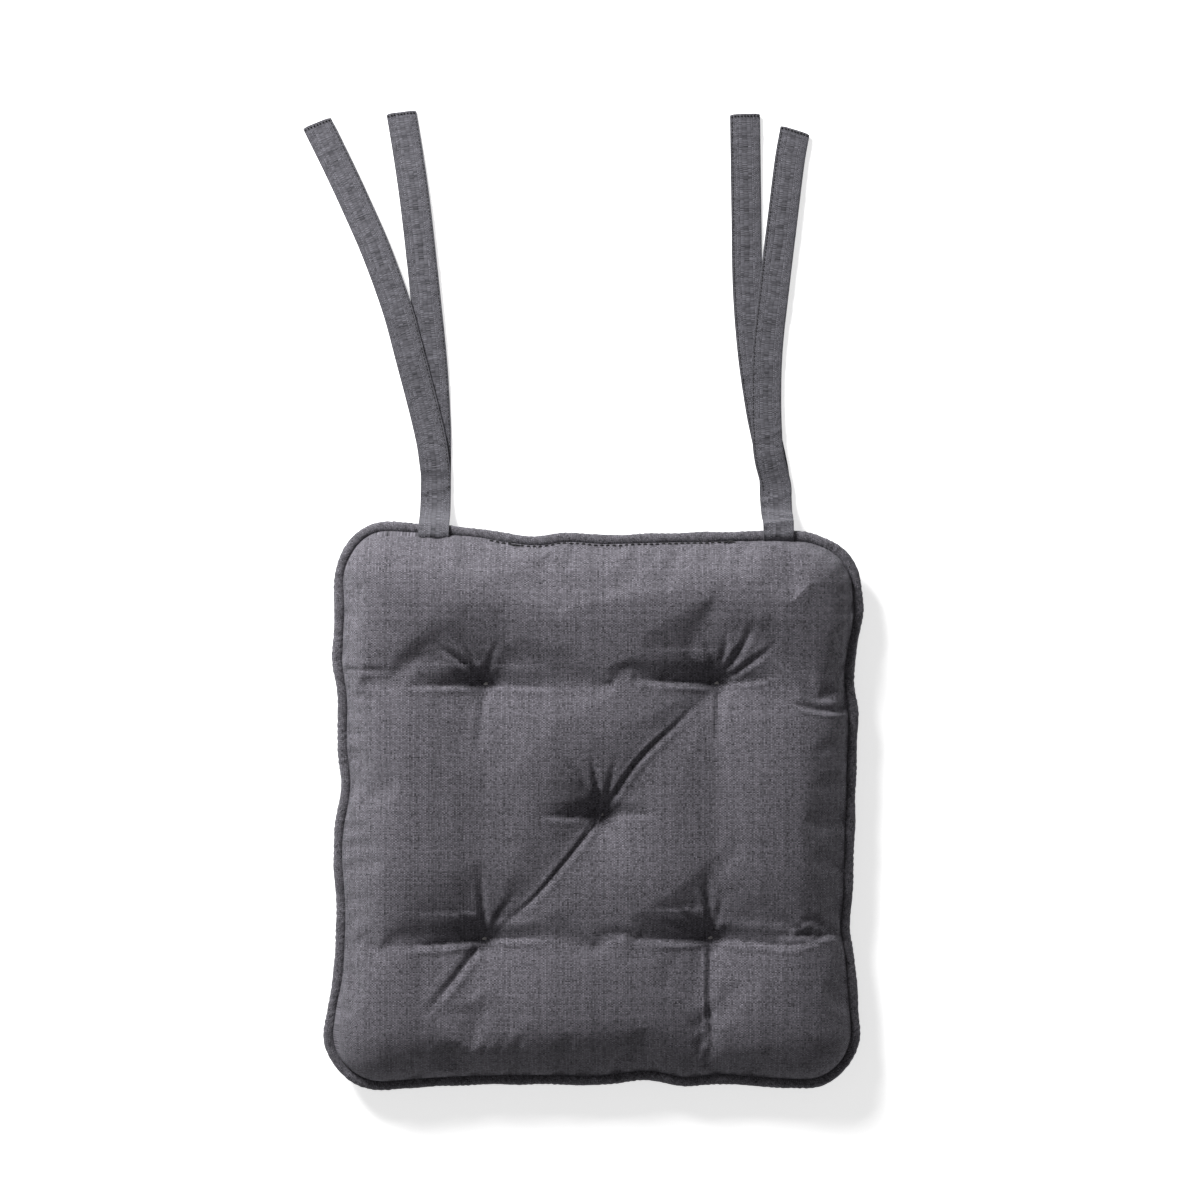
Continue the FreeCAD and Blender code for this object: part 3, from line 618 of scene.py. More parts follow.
CREASES = (
    # from the middle tuft
    Crease(((5, -2), (11, 9), (31, 37), (59, 63), (84, 87)), 3.2, 1.4, 0.8),
    Crease(((1, -8), (-26, -41), (-48, -66), (-78, -92)), 3.0, 1.35, 1.2),
    Crease(((3, 2), (-1, 22), (-5, 44)), 2.8, 1.7),
    Crease(((5, 2), (10, 22), (15, 44)), 1.9, 1.6),
    Crease(((0, 1), (-16, 26), (-41, 51)), 2.5, 1.6),
    Crease(((1, -5), (-20, -6), (-46, -4)), 3.6, 2.5, 0.55),
    Crease(((6, -5), (24, -5), (47, -3)), 3.0, 2.2, 1.8),
    Crease(((8, -9), (18, -24), (26, -44)), 1.9, 1.9),
    # from the back left tuft
    Crease(((-80, 89), (-97, 105), (-119, 120)), 3.8, 1.7),
    Crease(((-81, 87), (-112, 87), (-150, 86)), 3.6, 2.5, 0.55),
    Crease(((-179, 98), (-160, 98), (-138, 97)), 1.9, 1.6),
    Crease(((-77, 87), (-51, 86), (-22, 85)), 3.4, 2.4, 1.8),
    Crease(((-80, 80), (-82, 58), (-83, 30)), 2.2, 2.1),
    Crease(((-78, 92), (-74, 108), (-66, 126)), 1.3, 1.6),
    Crease(((-82, 91), (-90, 111), (-100, 134)), 1.5, 1.6),
    # from the back right tuft
    Crease(((84, 93), (80, 110), (72, 130)), 1.5, 1.6),
    Crease(((86, 94), (90, 114), (93, 136)), 1.5, 1.6),
    Crease(((82, 91), (66, 104), (50, 118)), 1.2, 1.6),
    Crease(((83, 88), (48, 90), (14, 92)), 4.8, 3.4, 0.5),
    Crease(((88, 93), (105, 119), (111, 140)), 3.1, 1.9),
    Crease(((90, 91), (119, 111), (131, 124)), 2.8, 1.6),
    Crease(((87, 88), (112, 90), (135, 97)), 2.8, 2.0, 1.8),
    Crease(((182, 70), (165, 69), (150, 71), (124, 77)), 4.0, 1.6, 0.8),
    Crease(((86, 83), (85, 62), (84, 40)), 2.8, 1.9, 1.4),
    # from the front left tuft
    Crease(((-79, -88), (-81, -66), (-83, -36)), 2.8, 1.9),
    Crease(((-82, -93), (-112, -96), (-154, -98)), 4.8, 3.4, 0.5),
    Crease(((-78, -93), (-55, -92), (-24, -91)), 3.2, 2.3, 1.8),
    Crease(((-84, -98), (-101, -120), (-128, -153)), 3.4, 2.0),
    Crease(((-78, -89), (-66, -70), (-52, -52)), 1.3, 1.6),
    Crease(((-83, -90), (-96, -76), (-110, -66)), 1.2, 1.6),
    # from the front right tuft
    Crease(((78, -89), (64, -76), (48, -62)), 1.7, 1.6),
    Crease(((77, -91), (60, -84), (38, -77)), 1.3, 1.6),
    Crease(((83, -88), (86, -72), (92, -56)), 1.3, 1.6),
    Crease(((82, -88), (78, -63), (77, -38)), 2.8, 1.9),
    Crease(((78, -93), (52, -93), (16, -90)), 4.8, 3.4, 0.5),
    Crease(((83, -93), (116, -95), (138, -96), (159, -91), (182, -80)), 4.2, 2.6, 1.7),
    Crease(((182, -90), (150, -89), (116, -90)), 2.2, 1.6),
    Crease(((80, -98), (79, -137), (81, -166), (73, -184), (70, -193)), 4.0, 2.1, 1.4),
)


# soft valleys between the tufts and out to the edges, in mm
VALLEYS = (
    ((-79, 88), (85, 88)),
    ((-80, -93), (80, -92)),
    ((3.6, -5), (85, 88)),
    ((3.6, -5), (-80, -93)),
    ((-79, 88), (-190, 92)),
    ((85, 88), (190, 78)),
    ((-80, -93), (-190, -98)),
    ((80, -92), (190, -82)),
    ((80, -92), (72, -199)),
    ((-79, 88), (-81, -93)),
    ((85, 88), (80, -92)),
)


@dataclass
class Panel:
    """A puffed fabric panel, pulled in at the tufts and gathered into the edge seam."""

    outline: Outline
    side: Side
    tufts: tuple[tuple[float, float], ...]
    seam_height: float
    crown: float
    tuft_height: float
    cells: int = 300
    edge_inset: float = 6.5 * MM
    roll: float = 62 * MM
    roll_power: float = 2.3
    roll_bulge: float = 0.62
    tuft_spread: float = 38 * MM
    tuft_pinch: float = 12 * MM
    back_pull: float = 1.45
    front_pull: float = 0.8
    calm: float = 20 * MM
    gather: float = 1.1 * MM
    stride: int = 3
    valley_depth: float = 0.15
    valley_width: float = 20 * MM
    fill_stride: int = 3
    frames: int = 20
    ease: float = 0.010
    pressure: float = 0.6
    most_moved: float = 3.2 * MM
    held_edge: float = 1 * MM
    held_tuft: float = 4 * MM
    fold_fade: float = 10 * MM
    fold_at_edge: float = 0.35
    # how much closer together the first places of a sampled profile stand than the last
    packing: float = 2.2
    floor_gap: float = 0.15 * MM
    points: np.ndarray = field(init=False)

    def edge_rise(self, inwards: np.ndarray) -> np.ndarray:
        """Share of the full height at a distance inwards from the panel's edge."""
        share = np.clip(inwards / self.roll, 0.0, 1.0)
        return (1.0 - (1.0 - share) ** self.roll_power) ** self.roll_bulge

    def ring_insets(self, count: int) -> np.ndarray:
        """Distances inwards of the rings, so that they are evenly spaced over the curved surface.

        Args:
            count: How many rings, from the edge to the middle.

        Returns:
            Distances inwards from the outside of the piping.
        """
        deepest = min(self.outline.half_width, self.outline.half_depth)
        inwards = np.linspace(0.0, 1.0, 4000) ** self.packing * (deepest - self.edge_inset)
        height = abs(self.crown - self.seam_height) * self.edge_rise(inwards)
        travelled = np.concatenate([[0.0], np.cumsum(np.hypot(np.diff(inwards), np.diff(height)))])
        return self.edge_inset + np.interp(np.linspace(0.0, travelled[-1], count), travelled, inwards)

    def plan(self, cells: int) -> tuple[np.ndarray, np.ndarray, np.ndarray]:
        """Lays a square grid over the outline.

        Args:
            cells: Grid cells each way, an even number.

        Returns:
            Plan points, distances inwards from the panel's edge, and places along the edge.
        """
        insets = self.ring_insets(cells // 2 + 1)[::-1]
        steps = np.arange(-(cells // 2), cells // 2 + 1)
        row, column = np.meshgrid(steps, steps, indexing="ij")
        rank = np.maximum(np.abs(row), np.abs(column))
        upright = np.abs(column) >= np.abs(row)
        side = np.where(upright, np.where(column >= 0, 0, 2), np.where(row >= 0, 1, 3))
        sideways = np.select([side == 0, side == 1, side == 2, side == 3], [row, -column, -row, column])
        share = sideways / np.maximum(rank, 1)
        inset = insets[rank]
        points, _ = self.outline.ring(side, share, inset)
        points[rank == 0] = 0.0
        return points, inset - self.edge_inset, side + (share + 1) / 2

    def heights(self, plan: np.ndarray, inwards: np.ndarray, place: np.ndarray) -> np.ndarray:
        """The shape of the puffs, dimples, gathers and folds.

        Args:
            plan: Plan points.
            inwards: Distances inwards from the panel's edge.
            place: Places along the edge.

        Returns:
            Heights in metres.
        """
        rise = self.edge_rise(inwards)
        pulled = np.ones_like(rise)
        for tuft in self.tufts:
            beyond = plan[..., 1] - tuft[1]
            distance = np.hypot(
                plan[..., 0] - tuft[0], beyond * np.where(beyond > 0, self.back_pull, self.front_pull)
            )
            pulled *= 1.0 - 0.5 * np.exp(-distance / self.tuft_pinch) - 0.5 * np.exp(
                -((distance / self.tuft_spread) ** 1.3)
            )
        full = self.crown - self.seam_height
        dimple = self.tuft_height - self.seam_height
        if self.side is Side.TOP:
            deepest = np.max(
                [self.valley(plan, np.array(start) * MM, np.array(end) * MM) for start, end in VALLEYS],
                axis=0,
            )
            pulled = pulled * (1.0 - deepest)
        height = self.seam_height + rise * (dimple + (full - dimple) * pulled)
        return height + np.sign(full) * self.gathers(inwards, place)

    def valley(self, plan: np.ndarray, start: np.ndarray, end: np.ndarray) -> np.ndarray:
        """A soft valley between two places on the panel.

        Args:
            plan: Plan points.
            start: One end.
            end: The other end.

        Returns:
            Shares of the puff's height that the valley takes.
        """
        run = end - start
        along = np.clip(((plan - start) @ run) / (run @ run), 0.0, 1.0)
        off = plan - start - along[..., None] * run
        distance = np.hypot(off[..., 0], off[..., 1])
        return self.valley_depth * np.exp(-((distance / self.valley_width) ** 1.6))

    def folds(self, plan: np.ndarray, inwards: np.ndarray) -> np.ndarray:
        """The fold lines between and round the tufts.

        Args:
            plan: Plan points.
            inwards: Distances inwards from the panel's edge.

        Returns:
            Height changes in metres.
        """
        fade = smooth_step(0.0, self.fold_fade, inwards)
        strength = self.fold_at_edge + (1.0 - self.fold_at_edge) * fade
        return sum(crease.press(plan / MM) for crease in CREASES) * MM * strength

    def settle(self, points: np.ndarray, inwards: np.ndarray) -> np.ndarray:
        """Puffs the panel as cloth under the pressure of its filling, held at its edge and tufts.

        Args:
            points: The panel's points.
            inwards: Distances inwards from the panel's edge.

        Returns:
            How far each point moves, in the shape of the points.
        """
        coarse = points[:: self.stride, :: self.stride]
        cloth_piece = lattice("settling_cloth", coarse, np.zeros((*coarse.shape[:2], 2)))
        nearest = np.min([np.hypot(coarse[..., 0] - x, coarse[..., 1] - y) for x, y in self.tufts], axis=0)
        held = (inwards[:: self.stride, :: self.stride] < self.held_edge) | (nearest < self.held_tuft)
        pins = cloth_piece.vertex_groups.new(name="held")
        pins.add(np.flatnonzero(held.ravel()).tolist(), 1.0, "REPLACE")
        modifier = cloth_piece.modifiers.new("cloth", "CLOTH")
        cloth = modifier.settings
        cloth.quality = 8
        cloth.mass = 0.25
        cloth.tension_stiffness = 25.0
        cloth.compression_stiffness = 10.0
        cloth.shear_stiffness = 6.0
        cloth.bending_stiffness = 1.5
        cloth.vertex_group_mass = pins.name
        cloth.shrink_min = -self.ease
        cloth.use_pressure = True
        cloth.uniform_pressure_force = self.pressure
        cloth.effector_weights.gravity = 0.0
        scene = bpy.context.scene
        scene.frame_end = self.frames
        for number in range(1, self.frames + 1):
            scene.frame_set(number)
        settled = cloth_piece.evaluated_get(bpy.context.evaluated_depsgraph_get())
        places = np.empty(coarse.size, np.float32)
        settled.data.vertices.foreach_get("co", places)
        free = 1.0 - np.exp(-((nearest / self.calm) ** 2))
        moved = (places.reshape(coarse.shape) - coarse) * free[..., None]
        bpy.data.objects.remove(cloth_piece)
        scene.frame_set(1)
        length = np.linalg.norm(moved, axis=2, keepdims=True)
        log.info("%s: cloth moved by up to %.1f mm", self.side.name, length.max() / MM)
        moved *= np.minimum(1.0, self.most_moved / np.maximum(length, 1e-9))
        spread = upsampling(coarse.shape[0], self.stride)
        return np.einsum("ai,bj,ijk->abk", spread, spread, moved, optimize=True)

    def gathers(self, inwards: np.ndarray, place: np.ndarray) -> np.ndarray:
        """Small puckers that run inwards from the edge seam, of uneven width and length.

        Args:
            inwards: Distances inwards from the panel's edge.
            place: Places along the edge.

        Returns:
            Height changes in metres.
        """
        random = np.random.default_rng(11)
        ripples = np.zeros_like(inwards)
        for waves in range(14, 120, 3):
            phase, weight = random.uniform(0, math.tau), random.normal() / (1 + waves / 60)
            reach = random.uniform(7, 20) * MM * (40 / (waves + 30)) ** 0.5
            fade = np.exp(-((inwards / reach) ** 1.3))
            ripples += weight * np.cos(place / 4 * math.tau * waves + phase) * fade
        return ripples * self.gather / 2.2 * smooth_step(0.0, 3 * MM, inwards)

    def weave(self, plan: np.ndarray, inwards: np.ndarray) -> np.ndarray:
        """Fabric coordinates in millimetres: the plan, drawn out where the panel falls to the seam.

        Args:
            plan: Plan points.
            inwards: Distances inwards from the panel's edge.

        Returns:
            The coordinates, in the shape of the plan.
        """
        halves = np.array([self.outline.half_width, self.outline.half_depth]) - self.edge_inset
        depth = np.linspace(0.0, 1.0, 2000) ** self.packing * halves.min()
        height = abs(self.crown - self.seam_height) * self.edge_rise(depth)
        travelled = np.concatenate([[0.0], np.cumsum(np.hypot(np.diff(depth), np.diff(height)))])
        left = np.clip(halves - np.abs(plan), 0.0, None)
        flat = (halves - depth[-1]) - np.maximum(left - depth[-1], 0.0)
        drawn = travelled[-1] - np.interp(left, depth, travelled) + flat
        return np.sign(plan) * drawn / MM

    def make(self, name: str) -> bpy.types.Object:
        """Builds the panel.

        Args:
            name: The name of the piece.

        Returns:
            The new panel.
        """
        plan, inwards, place = self.plan(self.cells)
        points = np.dstack([plan, self.heights(plan, inwards, place)])
        weave = self.weave(plan, inwards)
        if self.side is Side.BOTTOM:
            points[..., 2] = np.maximum(points[..., 2], 0.0) + self.floor_gap
            self.points = points
            return lattice(name, points[::-1], weave[::-1])
        points = points + self.settle(points, inwards)
        points[..., 2] += self.folds(points[..., :2], inwards)
        self.points = points
        return lattice(name, points, weave)

    def edge_line(self, side: int, inside: int) -> tuple[np.ndarray, np.ndarray]:
        """A line of the grid that runs beside one side's seam.

        Args:
            side: Side number: 0 right, 1 back, 2 left, 3 front.
            inside: How many grid lines inwards from the edge.

        Returns:
            Points along it and the directions away from the fabric there.
        """
        grid = np.rot90(self.points, side)
        ahead, inward = np.gradient(grid[:, -1 - inside], axis=0), grid[:, -2 - inside] - grid[:, -1 - inside]
        away = np.cross(ahead, inward)
        return grid[:, -1 - inside], away / np.linalg.norm(away, axis=1)[:, None]


# ---------------------------------------------------------------- edge


@dataclass
class Piping:
    """The fabric-covered cord round the edge, with the puckers of its bias-cut sleeve."""

    outline: Outline
    height: float
    radius: float
    # distance from the outline to the middle line, when that isn't the radius
    inset: float = 0.0
    bob: float = 2.2 * MM
    pucker: float = 0.010
    swell: float = 0.022
    stations: int = 1400
    facets: int = 20

    def middle(self, count: int) -> tuple[np.ndarray, np.ndarray, np.ndarray]:
        """Evenly spaced places on the piping's middle line.

        Args:
            count: How many places.

        Returns:
            Points with their height, outward directions, and places along the edge.
        """
        place = np.linspace(0.0, 4.0, count, endpoint=False)
        side = np.floor(place).astype(int)
        points, normals = self.outline.ring(
            side, (place - side) * 2 - 1, np.full(count, self.inset or self.radius)
        )
        random = np.random.default_rng(5)
        bob = sum(
            random.normal() / waves * np.cos(
                place / 4 * math.tau * waves + random.uniform(0, 6)
            ) for waves in range(3, 14)
        )
        height = self.height + bob * self.bob
        return np.column_stack([points, height]), normals, place

    def make(self, name: str) -> bpy.types.Object:
        """Builds the piping as one closed tube.

        Args:
            name: The name of the piece.

        Returns:
            The new piping.
        """
        middle, normals, place = self.middle(self.stations)
        around = np.linspace(0.0, math.tau, self.facets, endpoint=False)
        random = np.random.default_rng(8)
        pucker = np.zeros((self.stations, self.facets))
        for waves in range(60, 420, 24):
            phase, slant = random.uniform(0, math.tau), random.uniform(0.6, 1.6)
            pucker += random.normal() * np.cos(
                place[:, None] / 4 * math.tau * waves + slant * around[None, :] + phase
            )
        swell = sum(
            random.normal() * np.cos(
                place / 4 * math.tau * waves + random.uniform(0, 6)
            ) for waves in range(9, 40, 5)
        )
        radius = self.radius * (1 + self.pucker * pucker + self.swell * swell[:, None])
        outwards = radius * np.cos(around)
        upwards = radius * np.sin(around)
        level = np.column_stack([normals, np.zeros(self.stations)])
        points = middle[:, None, :] + outwards[..., None] * level[:, None, :]
        points[..., 2] += upwards
        steps = np.linalg.norm(np.diff(np.vstack([middle, middle[:1]]), axis=0), axis=1)
        travelled = np.concatenate([[0.0], np.cumsum(steps)]) / MM
        girth = np.linspace(0.0, math.tau * self.radius / MM, self.facets + 1)
        weave = np.stack(np.broadcast_arrays(travelled[:, None], girth[None, :]), axis=-1)
        return lattice(name, points, weave, rows_closed=True, columns_closed=True)


# ---------------------------------------------------------------- thread


def stitch_row(
    name: str, line: np.ndarray, up: np.ndarray, pitch: float, thickness: float, gap: float = 0.25
) -> bpy.types.Object:
    """A row of separate stitches that dip into the fabric at both ends.

    Args:
        name: The name of the piece.
        line: Points along the row, on the fabric.
        up: Directions away from the fabric, one for each point.
        pitch: Distance from stitch to stitch.
        thickness: Thickness of the thread.
        gap: Share of the pitch where the thread is under the fabric.

    Returns:
        The stitches as one piece.
    """
    travelled = np.concatenate([[0.0], np.cumsum(np.linalg.norm(np.diff(line, axis=0), axis=1))])
    count = max(1, int(travelled[-1] / pitch))
    rings, facets = 7, 8
    around = np.linspace(0.0, math.tau, facets, endpoint=False)
    random = np.random.default_rng(count)
    vertices, quads, weave = [], [], []
    for number in range(count):
        start = (number + gap / 2 + random.normal() * 0.03) * pitch
        places = np.linspace(start, start + pitch * (1 - gap), rings)
        share = np.linspace(-1.0, 1.0, rings)
        centre = np.column_stack([np.interp(places, travelled, line[:, axis]) for axis in range(3)])
        lift = np.column_stack([np.interp(places, travelled, up[:, axis]) for axis in range(3)])
        ahead = np.gradient(centre, axis=0)
        ahead /= np.linalg.norm(ahead, axis=1)[:, None]
        across = np.cross(ahead, lift)
        across /= np.linalg.norm(across, axis=1)[:, None]
        centre = centre + lift * (thickness * (0.35 - 1.1 * share**4))[:, None]
        radius = thickness / 2 * (1 - 0.35 * share**4)
        first = len(vertices)
        for ring in range(rings):
            spot = centre[ring] + radius[ring] * (
                np.cos(around)[:, None] * across[ring] + np.sin(around)[:, None] * lift[ring]
            )
            vertices += spot.tolist()
        for ring in range(rings - 1):
            for facet in range(facets):
                after = (facet + 1) % facets
                quads.append(
                    [
                        first + ring * facets + facet,
                        first + ring * facets + after,
                        first + (ring + 1) * facets + after,
                        first + (ring + 1) * facets + facet,
                    ]
                )
                length, girth = pitch / MM / rings, math.pi * thickness / MM / facets
                steps = ((ring, facet), (ring, facet + 1), (ring + 1, facet + 1), (ring + 1, facet))
                weave += [(along * length, about * girth) for along, about in steps]
    mesh = bpy.data.meshes.new(name)
    mesh.from_pydata(vertices, [], quads)
    mesh.uv_layers.new(name="Weave").data.foreach_set("uv", np.array(weave, np.float32).ravel())
    mesh.shade_smooth()
    mesh.update()
    piece = bpy.data.objects.new(name, mesh)
    bpy.context.collection.objects.link(piece)
    return piece


def tube(name: str, line: np.ndarray, thickness: float, facets: int = 10) -> bpy.types.Object:
    """A closed round thread along a line.

    Args:
        name: The name of the piece.
        line: Its middle line.
        thickness: Its diameter.
        facets: Faces round it.

    Returns:
        The new thread.
    """
    ahead = np.gradient(line, axis=0)
    ahead /= np.linalg.norm(ahead, axis=1)[:, None]
    spare = np.array([1.0, 0.0, 0.0]) if abs(ahead[0][0]) < 0.9 else np.array([0.0, 1.0, 0.0])
    across = np.cross(ahead, spare)
    across /= np.linalg.norm(across, axis=1)[:, None]
    up = np.cross(ahead, across)
    share = np.linspace(-1.0, 1.0, len(line))
    radius = thickness / 2 * np.sqrt(np.clip(1.0 - share**12, 0.0, 1.0))
    around = np.linspace(0.0, math.tau, facets, endpoint=False)
    circle = np.cos(around)[None, :, None] * across[:, None, :]
    circle += np.sin(around)[None, :, None] * up[:, None, :]
    travelled = np.concatenate([[0.0], np.cumsum(np.linalg.norm(np.diff(line, axis=0), axis=1))]) / MM
    girth = np.linspace(0.0, math.pi * thickness / MM, facets + 1)
    weave = np.stack(np.broadcast_arrays(travelled[:, None], girth[None, :]), axis=-1)
    return lattice(name, line[:, None, :] + radius[:, None, None] * circle, weave, columns_closed=True)


@dataclass
class Tuft:
    """Twine through the pad that pulls both faces in, with a short bar of strands on each face."""

    name: str
    place: tuple[float, float]
    top: float
    low: float
    thickness: float = 0.75 * MM
    bar_length: float = 5.0 * MM
    strands: int = 3
    shank: float = 1.2 * MM

    def make(self) -> bpy.types.Object:
        """Builds the twine and its bars.

        Returns:
            The twine as one piece.
        """
        x, y = self.place
        random = np.random.default_rng(int(abs(x) * 1e4 + 7))
        heights = np.linspace(self.low, self.top, 12)
        parts = [tube("twine", np.column_stack([np.full(12, x), np.full(12, y), heights]), self.shank)]
        for level, side in ((self.top, 1.0), (self.low, -1.0)):
            for number in range(self.strands):
                angle = math.radians(18 + 14 * (number - 1) + random.uniform(-8, 8))
                share = np.linspace(-1.0, 1.0, 13)
                reach = self.bar_length / 2 * random.uniform(0.85, 1.15)
                off = (number - 1) * 0.6 * MM
                line = np.column_stack([
                    x + share * reach * math.cos(angle) - off * math.sin(angle),
                    y + share * reach * math.sin(angle) + off * math.cos(angle),
                    level + side * (1.7 - 1.9 * share**4) * MM,
                ])
                parts.append(tube("strand", line, self.thickness))
        return joined(self.name, parts)


# ---------------------------------------------------------------- ties


@dataclass(frozen=True)
class TieRoute:
    """How one leg of a tie lies: plan points in mm from the edge outwards, and its waves in height."""

    plan: Points
    layer: int
    waves: float
    # the leg's own length beyond the root, in mm
    length: float
    end_cut: float = 0.0
    # folds across the strip: distance from the seam, height and slant, in mm
    kinks: tuple[tuple[float, float, float], ...] = ()


ROUTES = {
    "tie_left_outer": TieRoute(
        plan=(
            (-115.6, 236),
            (-116.6, 246),
            (-119, 262),
            (-124.6, 286),
            (-134, 322),
            (-143.5, 357),
            (-158, 397),
            (-172, 429),
            (-185, 457),
            (-201, 489.5),
        ),
        layer=1,
        waves=0.9,
        length=278,
        end_cut=-4.0,
        kinks=((52, 0.7, 0.3), (66, 0.6, -0.2), (150, 0.4, 0.4)),
    ),
    "tie_left_inner": TieRoute(
        plan=(
            (-115.6, 236),
            (-115.5, 250),
            (-115.6, 272),
            (-118, 315),
            (-123, 365),
            (-129.6, 425),
            (-135, 464),
            (-140.5, 497.5),
        ),
        layer=0,
        waves=2.1,
        length=273,
        end_cut=-2.0,
        kinks=((120, 0.5, 0.3), (215, 0.5, -0.5)),
    ),
    "tie_right_inner": TieRoute(
        plan=(
            (127, 236), (125, 248), (121, 266), (117, 286), (111.5, 325), (108, 372), (107, 429), (106, 496)
        ),
        layer=0,
        waves=4.0,
        length=272,
        end_cut=1.0,
        kinks=((140, 0.8, 0.6), (165, 0.5, -0.3), (80, 0.7, 0.4)),
    ),
    "tie_right_outer": TieRoute(
        plan=(
            (128.4, 229),
            (126.2, 238),
            (123.6, 248),
            (122, 262),
            (121.2, 292),
            (122.3, 328),
            (127, 372),
            (133, 422),
            (138, 462),
            (142, 484.5),
        ),
        layer=1,
        waves=5.2,
        length=261,
        end_cut=-7.0,
        kinks=((17, 2.0, 0.15), (30, 1.3, -0.35), (46, 1.0, 0.4), (92, 0.6, 0.3)),
    ),
}


@dataclass
class TieLeg:
    """One leg of a tie: a folded strip, stitched along one edge and across its free end."""

    name: str
    pair: Pair
    route: TieRoute
    piping: Piping
    width: float = 21.7 * MM
    thickness: float = 1.5 * MM
    split_at: float = 225 * MM
    start_length: float = 50 * MM
    stitch_inset: float = 1.7 * MM
    stitch_pitch: float = 2.6 * MM
    hem: float = 2.0 * MM
    edge_thread: float = 0.7 * MM
    hem_thread_and_fold_shade: float = 1.2 * MM
    hem_pitch: float = 2.3 * MM
    stations: int = 420
    facets: int = 44

    def middle_line(self) -> np.ndarray:
        """The middle of the strip's underside, from the seam over the piping to the free end."""
        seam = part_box(f"tie_{self.pair.value}_anchor")
        x = (seam[0].x + seam[1].x) / 2
        lay = self.route.layer
        top = self.piping.height + self.piping.radius
        lift = lay * (self.thickness + 0.25 * MM)
        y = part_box("piping_sleeve")[1].y - 2 * MM
        start = self.route.plan[0]
        rise = [
            (x, y - 9.5 * MM, top - 5.5 * MM + lift),
            (x, y - 5.5 * MM, top - 0.6 * MM + lift),
            (x, y - 2 * MM, top + 0.8 * MM + lift),
            (x, y + 2.2 * MM + lift * 0.7, top - 2.2 * MM + lift * 0.8),
            (x, y + 6.5 * MM + lift * 0.9, top - 9 * MM + lift * 0.6),
            (x + (start[0] * MM - x) * 0.35, y + 13 * MM + lift * 0.6, 5.2 * MM + lift),
            (x + (start[0] * MM - x) * 0.7, y + 24 * MM, 0.9 * MM + lift),
        ]
        floor = []
        for number, (px, py) in enumerate(self.route.plan):
            wave = 0.9 * MM * (1 + math.sin(self.route.waves + number * 1.35)) * min(1.0, number / 2.0)
            floor.append((px * MM, py * MM, 0.25 * MM + lift + wave))
        return np.array(rise + floor)

    def section(self) -> tuple[np.ndarray, np.ndarray]:
        """The strip's cross-section: rolled folds at both edges and a pressed stitch line.

        Returns:
            Points across and up, in metres, counter-clockwise from the right edge.
        """
        angle = np.linspace(0.0, math.tau, self.facets, endpoint=False)
        across = np.sign(np.cos(angle)) * np.abs(np.cos(angle)) ** 0.55 * self.width / 2
        up = np.sign(np.sin(angle)) * np.abs(np.sin(angle)) ** 0.45 * self.thickness / 2
        stitched = self.width / 2 - self.stitch_inset
        side = -1.0 if self.pair is Pair.RIGHT else 1.0
        groove = np.exp(-(((across * side - stitched) / (0.9 * MM)) ** 2))
        fold = 0.16 * np.exp(-(((across * side + self.width * 0.36) / (3 * MM)) ** 2))
        up = up * (1 - 0.45 * groove + fold)
        return across, up + self.thickness / 2

    def make(self, cotton: Finish) -> list[bpy.types.Object]:
        """Builds the leg in two pieces that meet behind the piping, and its stitching.

        Args:
            cotton: The fabric.

        Returns:
            The start over the piping, the free leg and its stitching.
        """
        count = self.stations
        line = spline(self.middle_line(), count)
        ahead = np.gradient(line, axis=0)
        ahead /= np.linalg.norm(ahead, axis=1)[:, None]
        across = np.column_stack([ahead[:, 1], -ahead[:, 0], np.zeros(count)])
        start_across = np.array([1.0, 0.0, 0.0])
        blend = smooth_step(0.0, 0.12, np.linspace(0, 1, count))[:, None]
        across = across / np.maximum(np.linalg.norm(across, axis=1)[:, None], 1e-6)
        across = across * blend + start_across * (1 - blend)
        across /= np.linalg.norm(across, axis=1)[:, None]
        up = np.cross(across, ahead)
        up /= np.linalg.norm(up, axis=1)[:, None]
        travelled = np.concatenate([[0.0], np.cumsum(np.linalg.norm(np.diff(line, axis=0), axis=1))])
        wide, high = self.section()
        points = line[:, None, :] + wide[None, :, None] * across[:, None, :]
        points = points + high[None, :, None] * up[:, None, :]
        points = self.cut_end(points, travelled, wide, ahead)
        points = self.rumple(points, travelled, wide, up)
        weave = self.fabric_places(travelled)
        first = int(np.argmax(line[:, 1] >= self.split_at))
        start = lattice(self.name + "_start", points[: first + 1], weave[: first + 1], columns_closed=True)
        free = lattice(self.name + "_leg", points[first:], weave[first:], columns_closed=True)
        self.close_end(free, points[-1], weave[-1], points.shape[0] - first)
        seam = self.stitching(points, wide, high, up, travelled, first)
        for piece in (start, free):
            finish_piece(piece, cotton, "tie_fabric")
        finish_piece(seam, THREAD_WITH_HOLE_SHADE, "sewing_thread", self.name + "_stitching")
        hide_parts(self.name)
        return [start, free, seam]

    def cut_end(
        self, points: np.ndarray, travelled: np.ndarray, wide: np.ndarray, ahead: np.ndarray
    ) -> np.ndarray:
        """Slants and rounds the free end.

        Args:
            points: The strip's points.
            travelled: Distance along the strip.
            wide: Distance from the middle for each column.
            ahead: Directions along the strip.

        Returns:
            The moved points.
        """
        slant = math.tan(math.radians(self.route.end_cut))
        near_end = smooth_step(travelled[-1] - 30 * MM, travelled[-1], travelled)
        shift = near_end[:, None] * (
            wide[None, :] * slant - 0.9 * MM * (np.abs(wide) / (self.width / 2))[None, :] ** 6
        )
        return points + shift[..., None] * ahead[:, None, :]

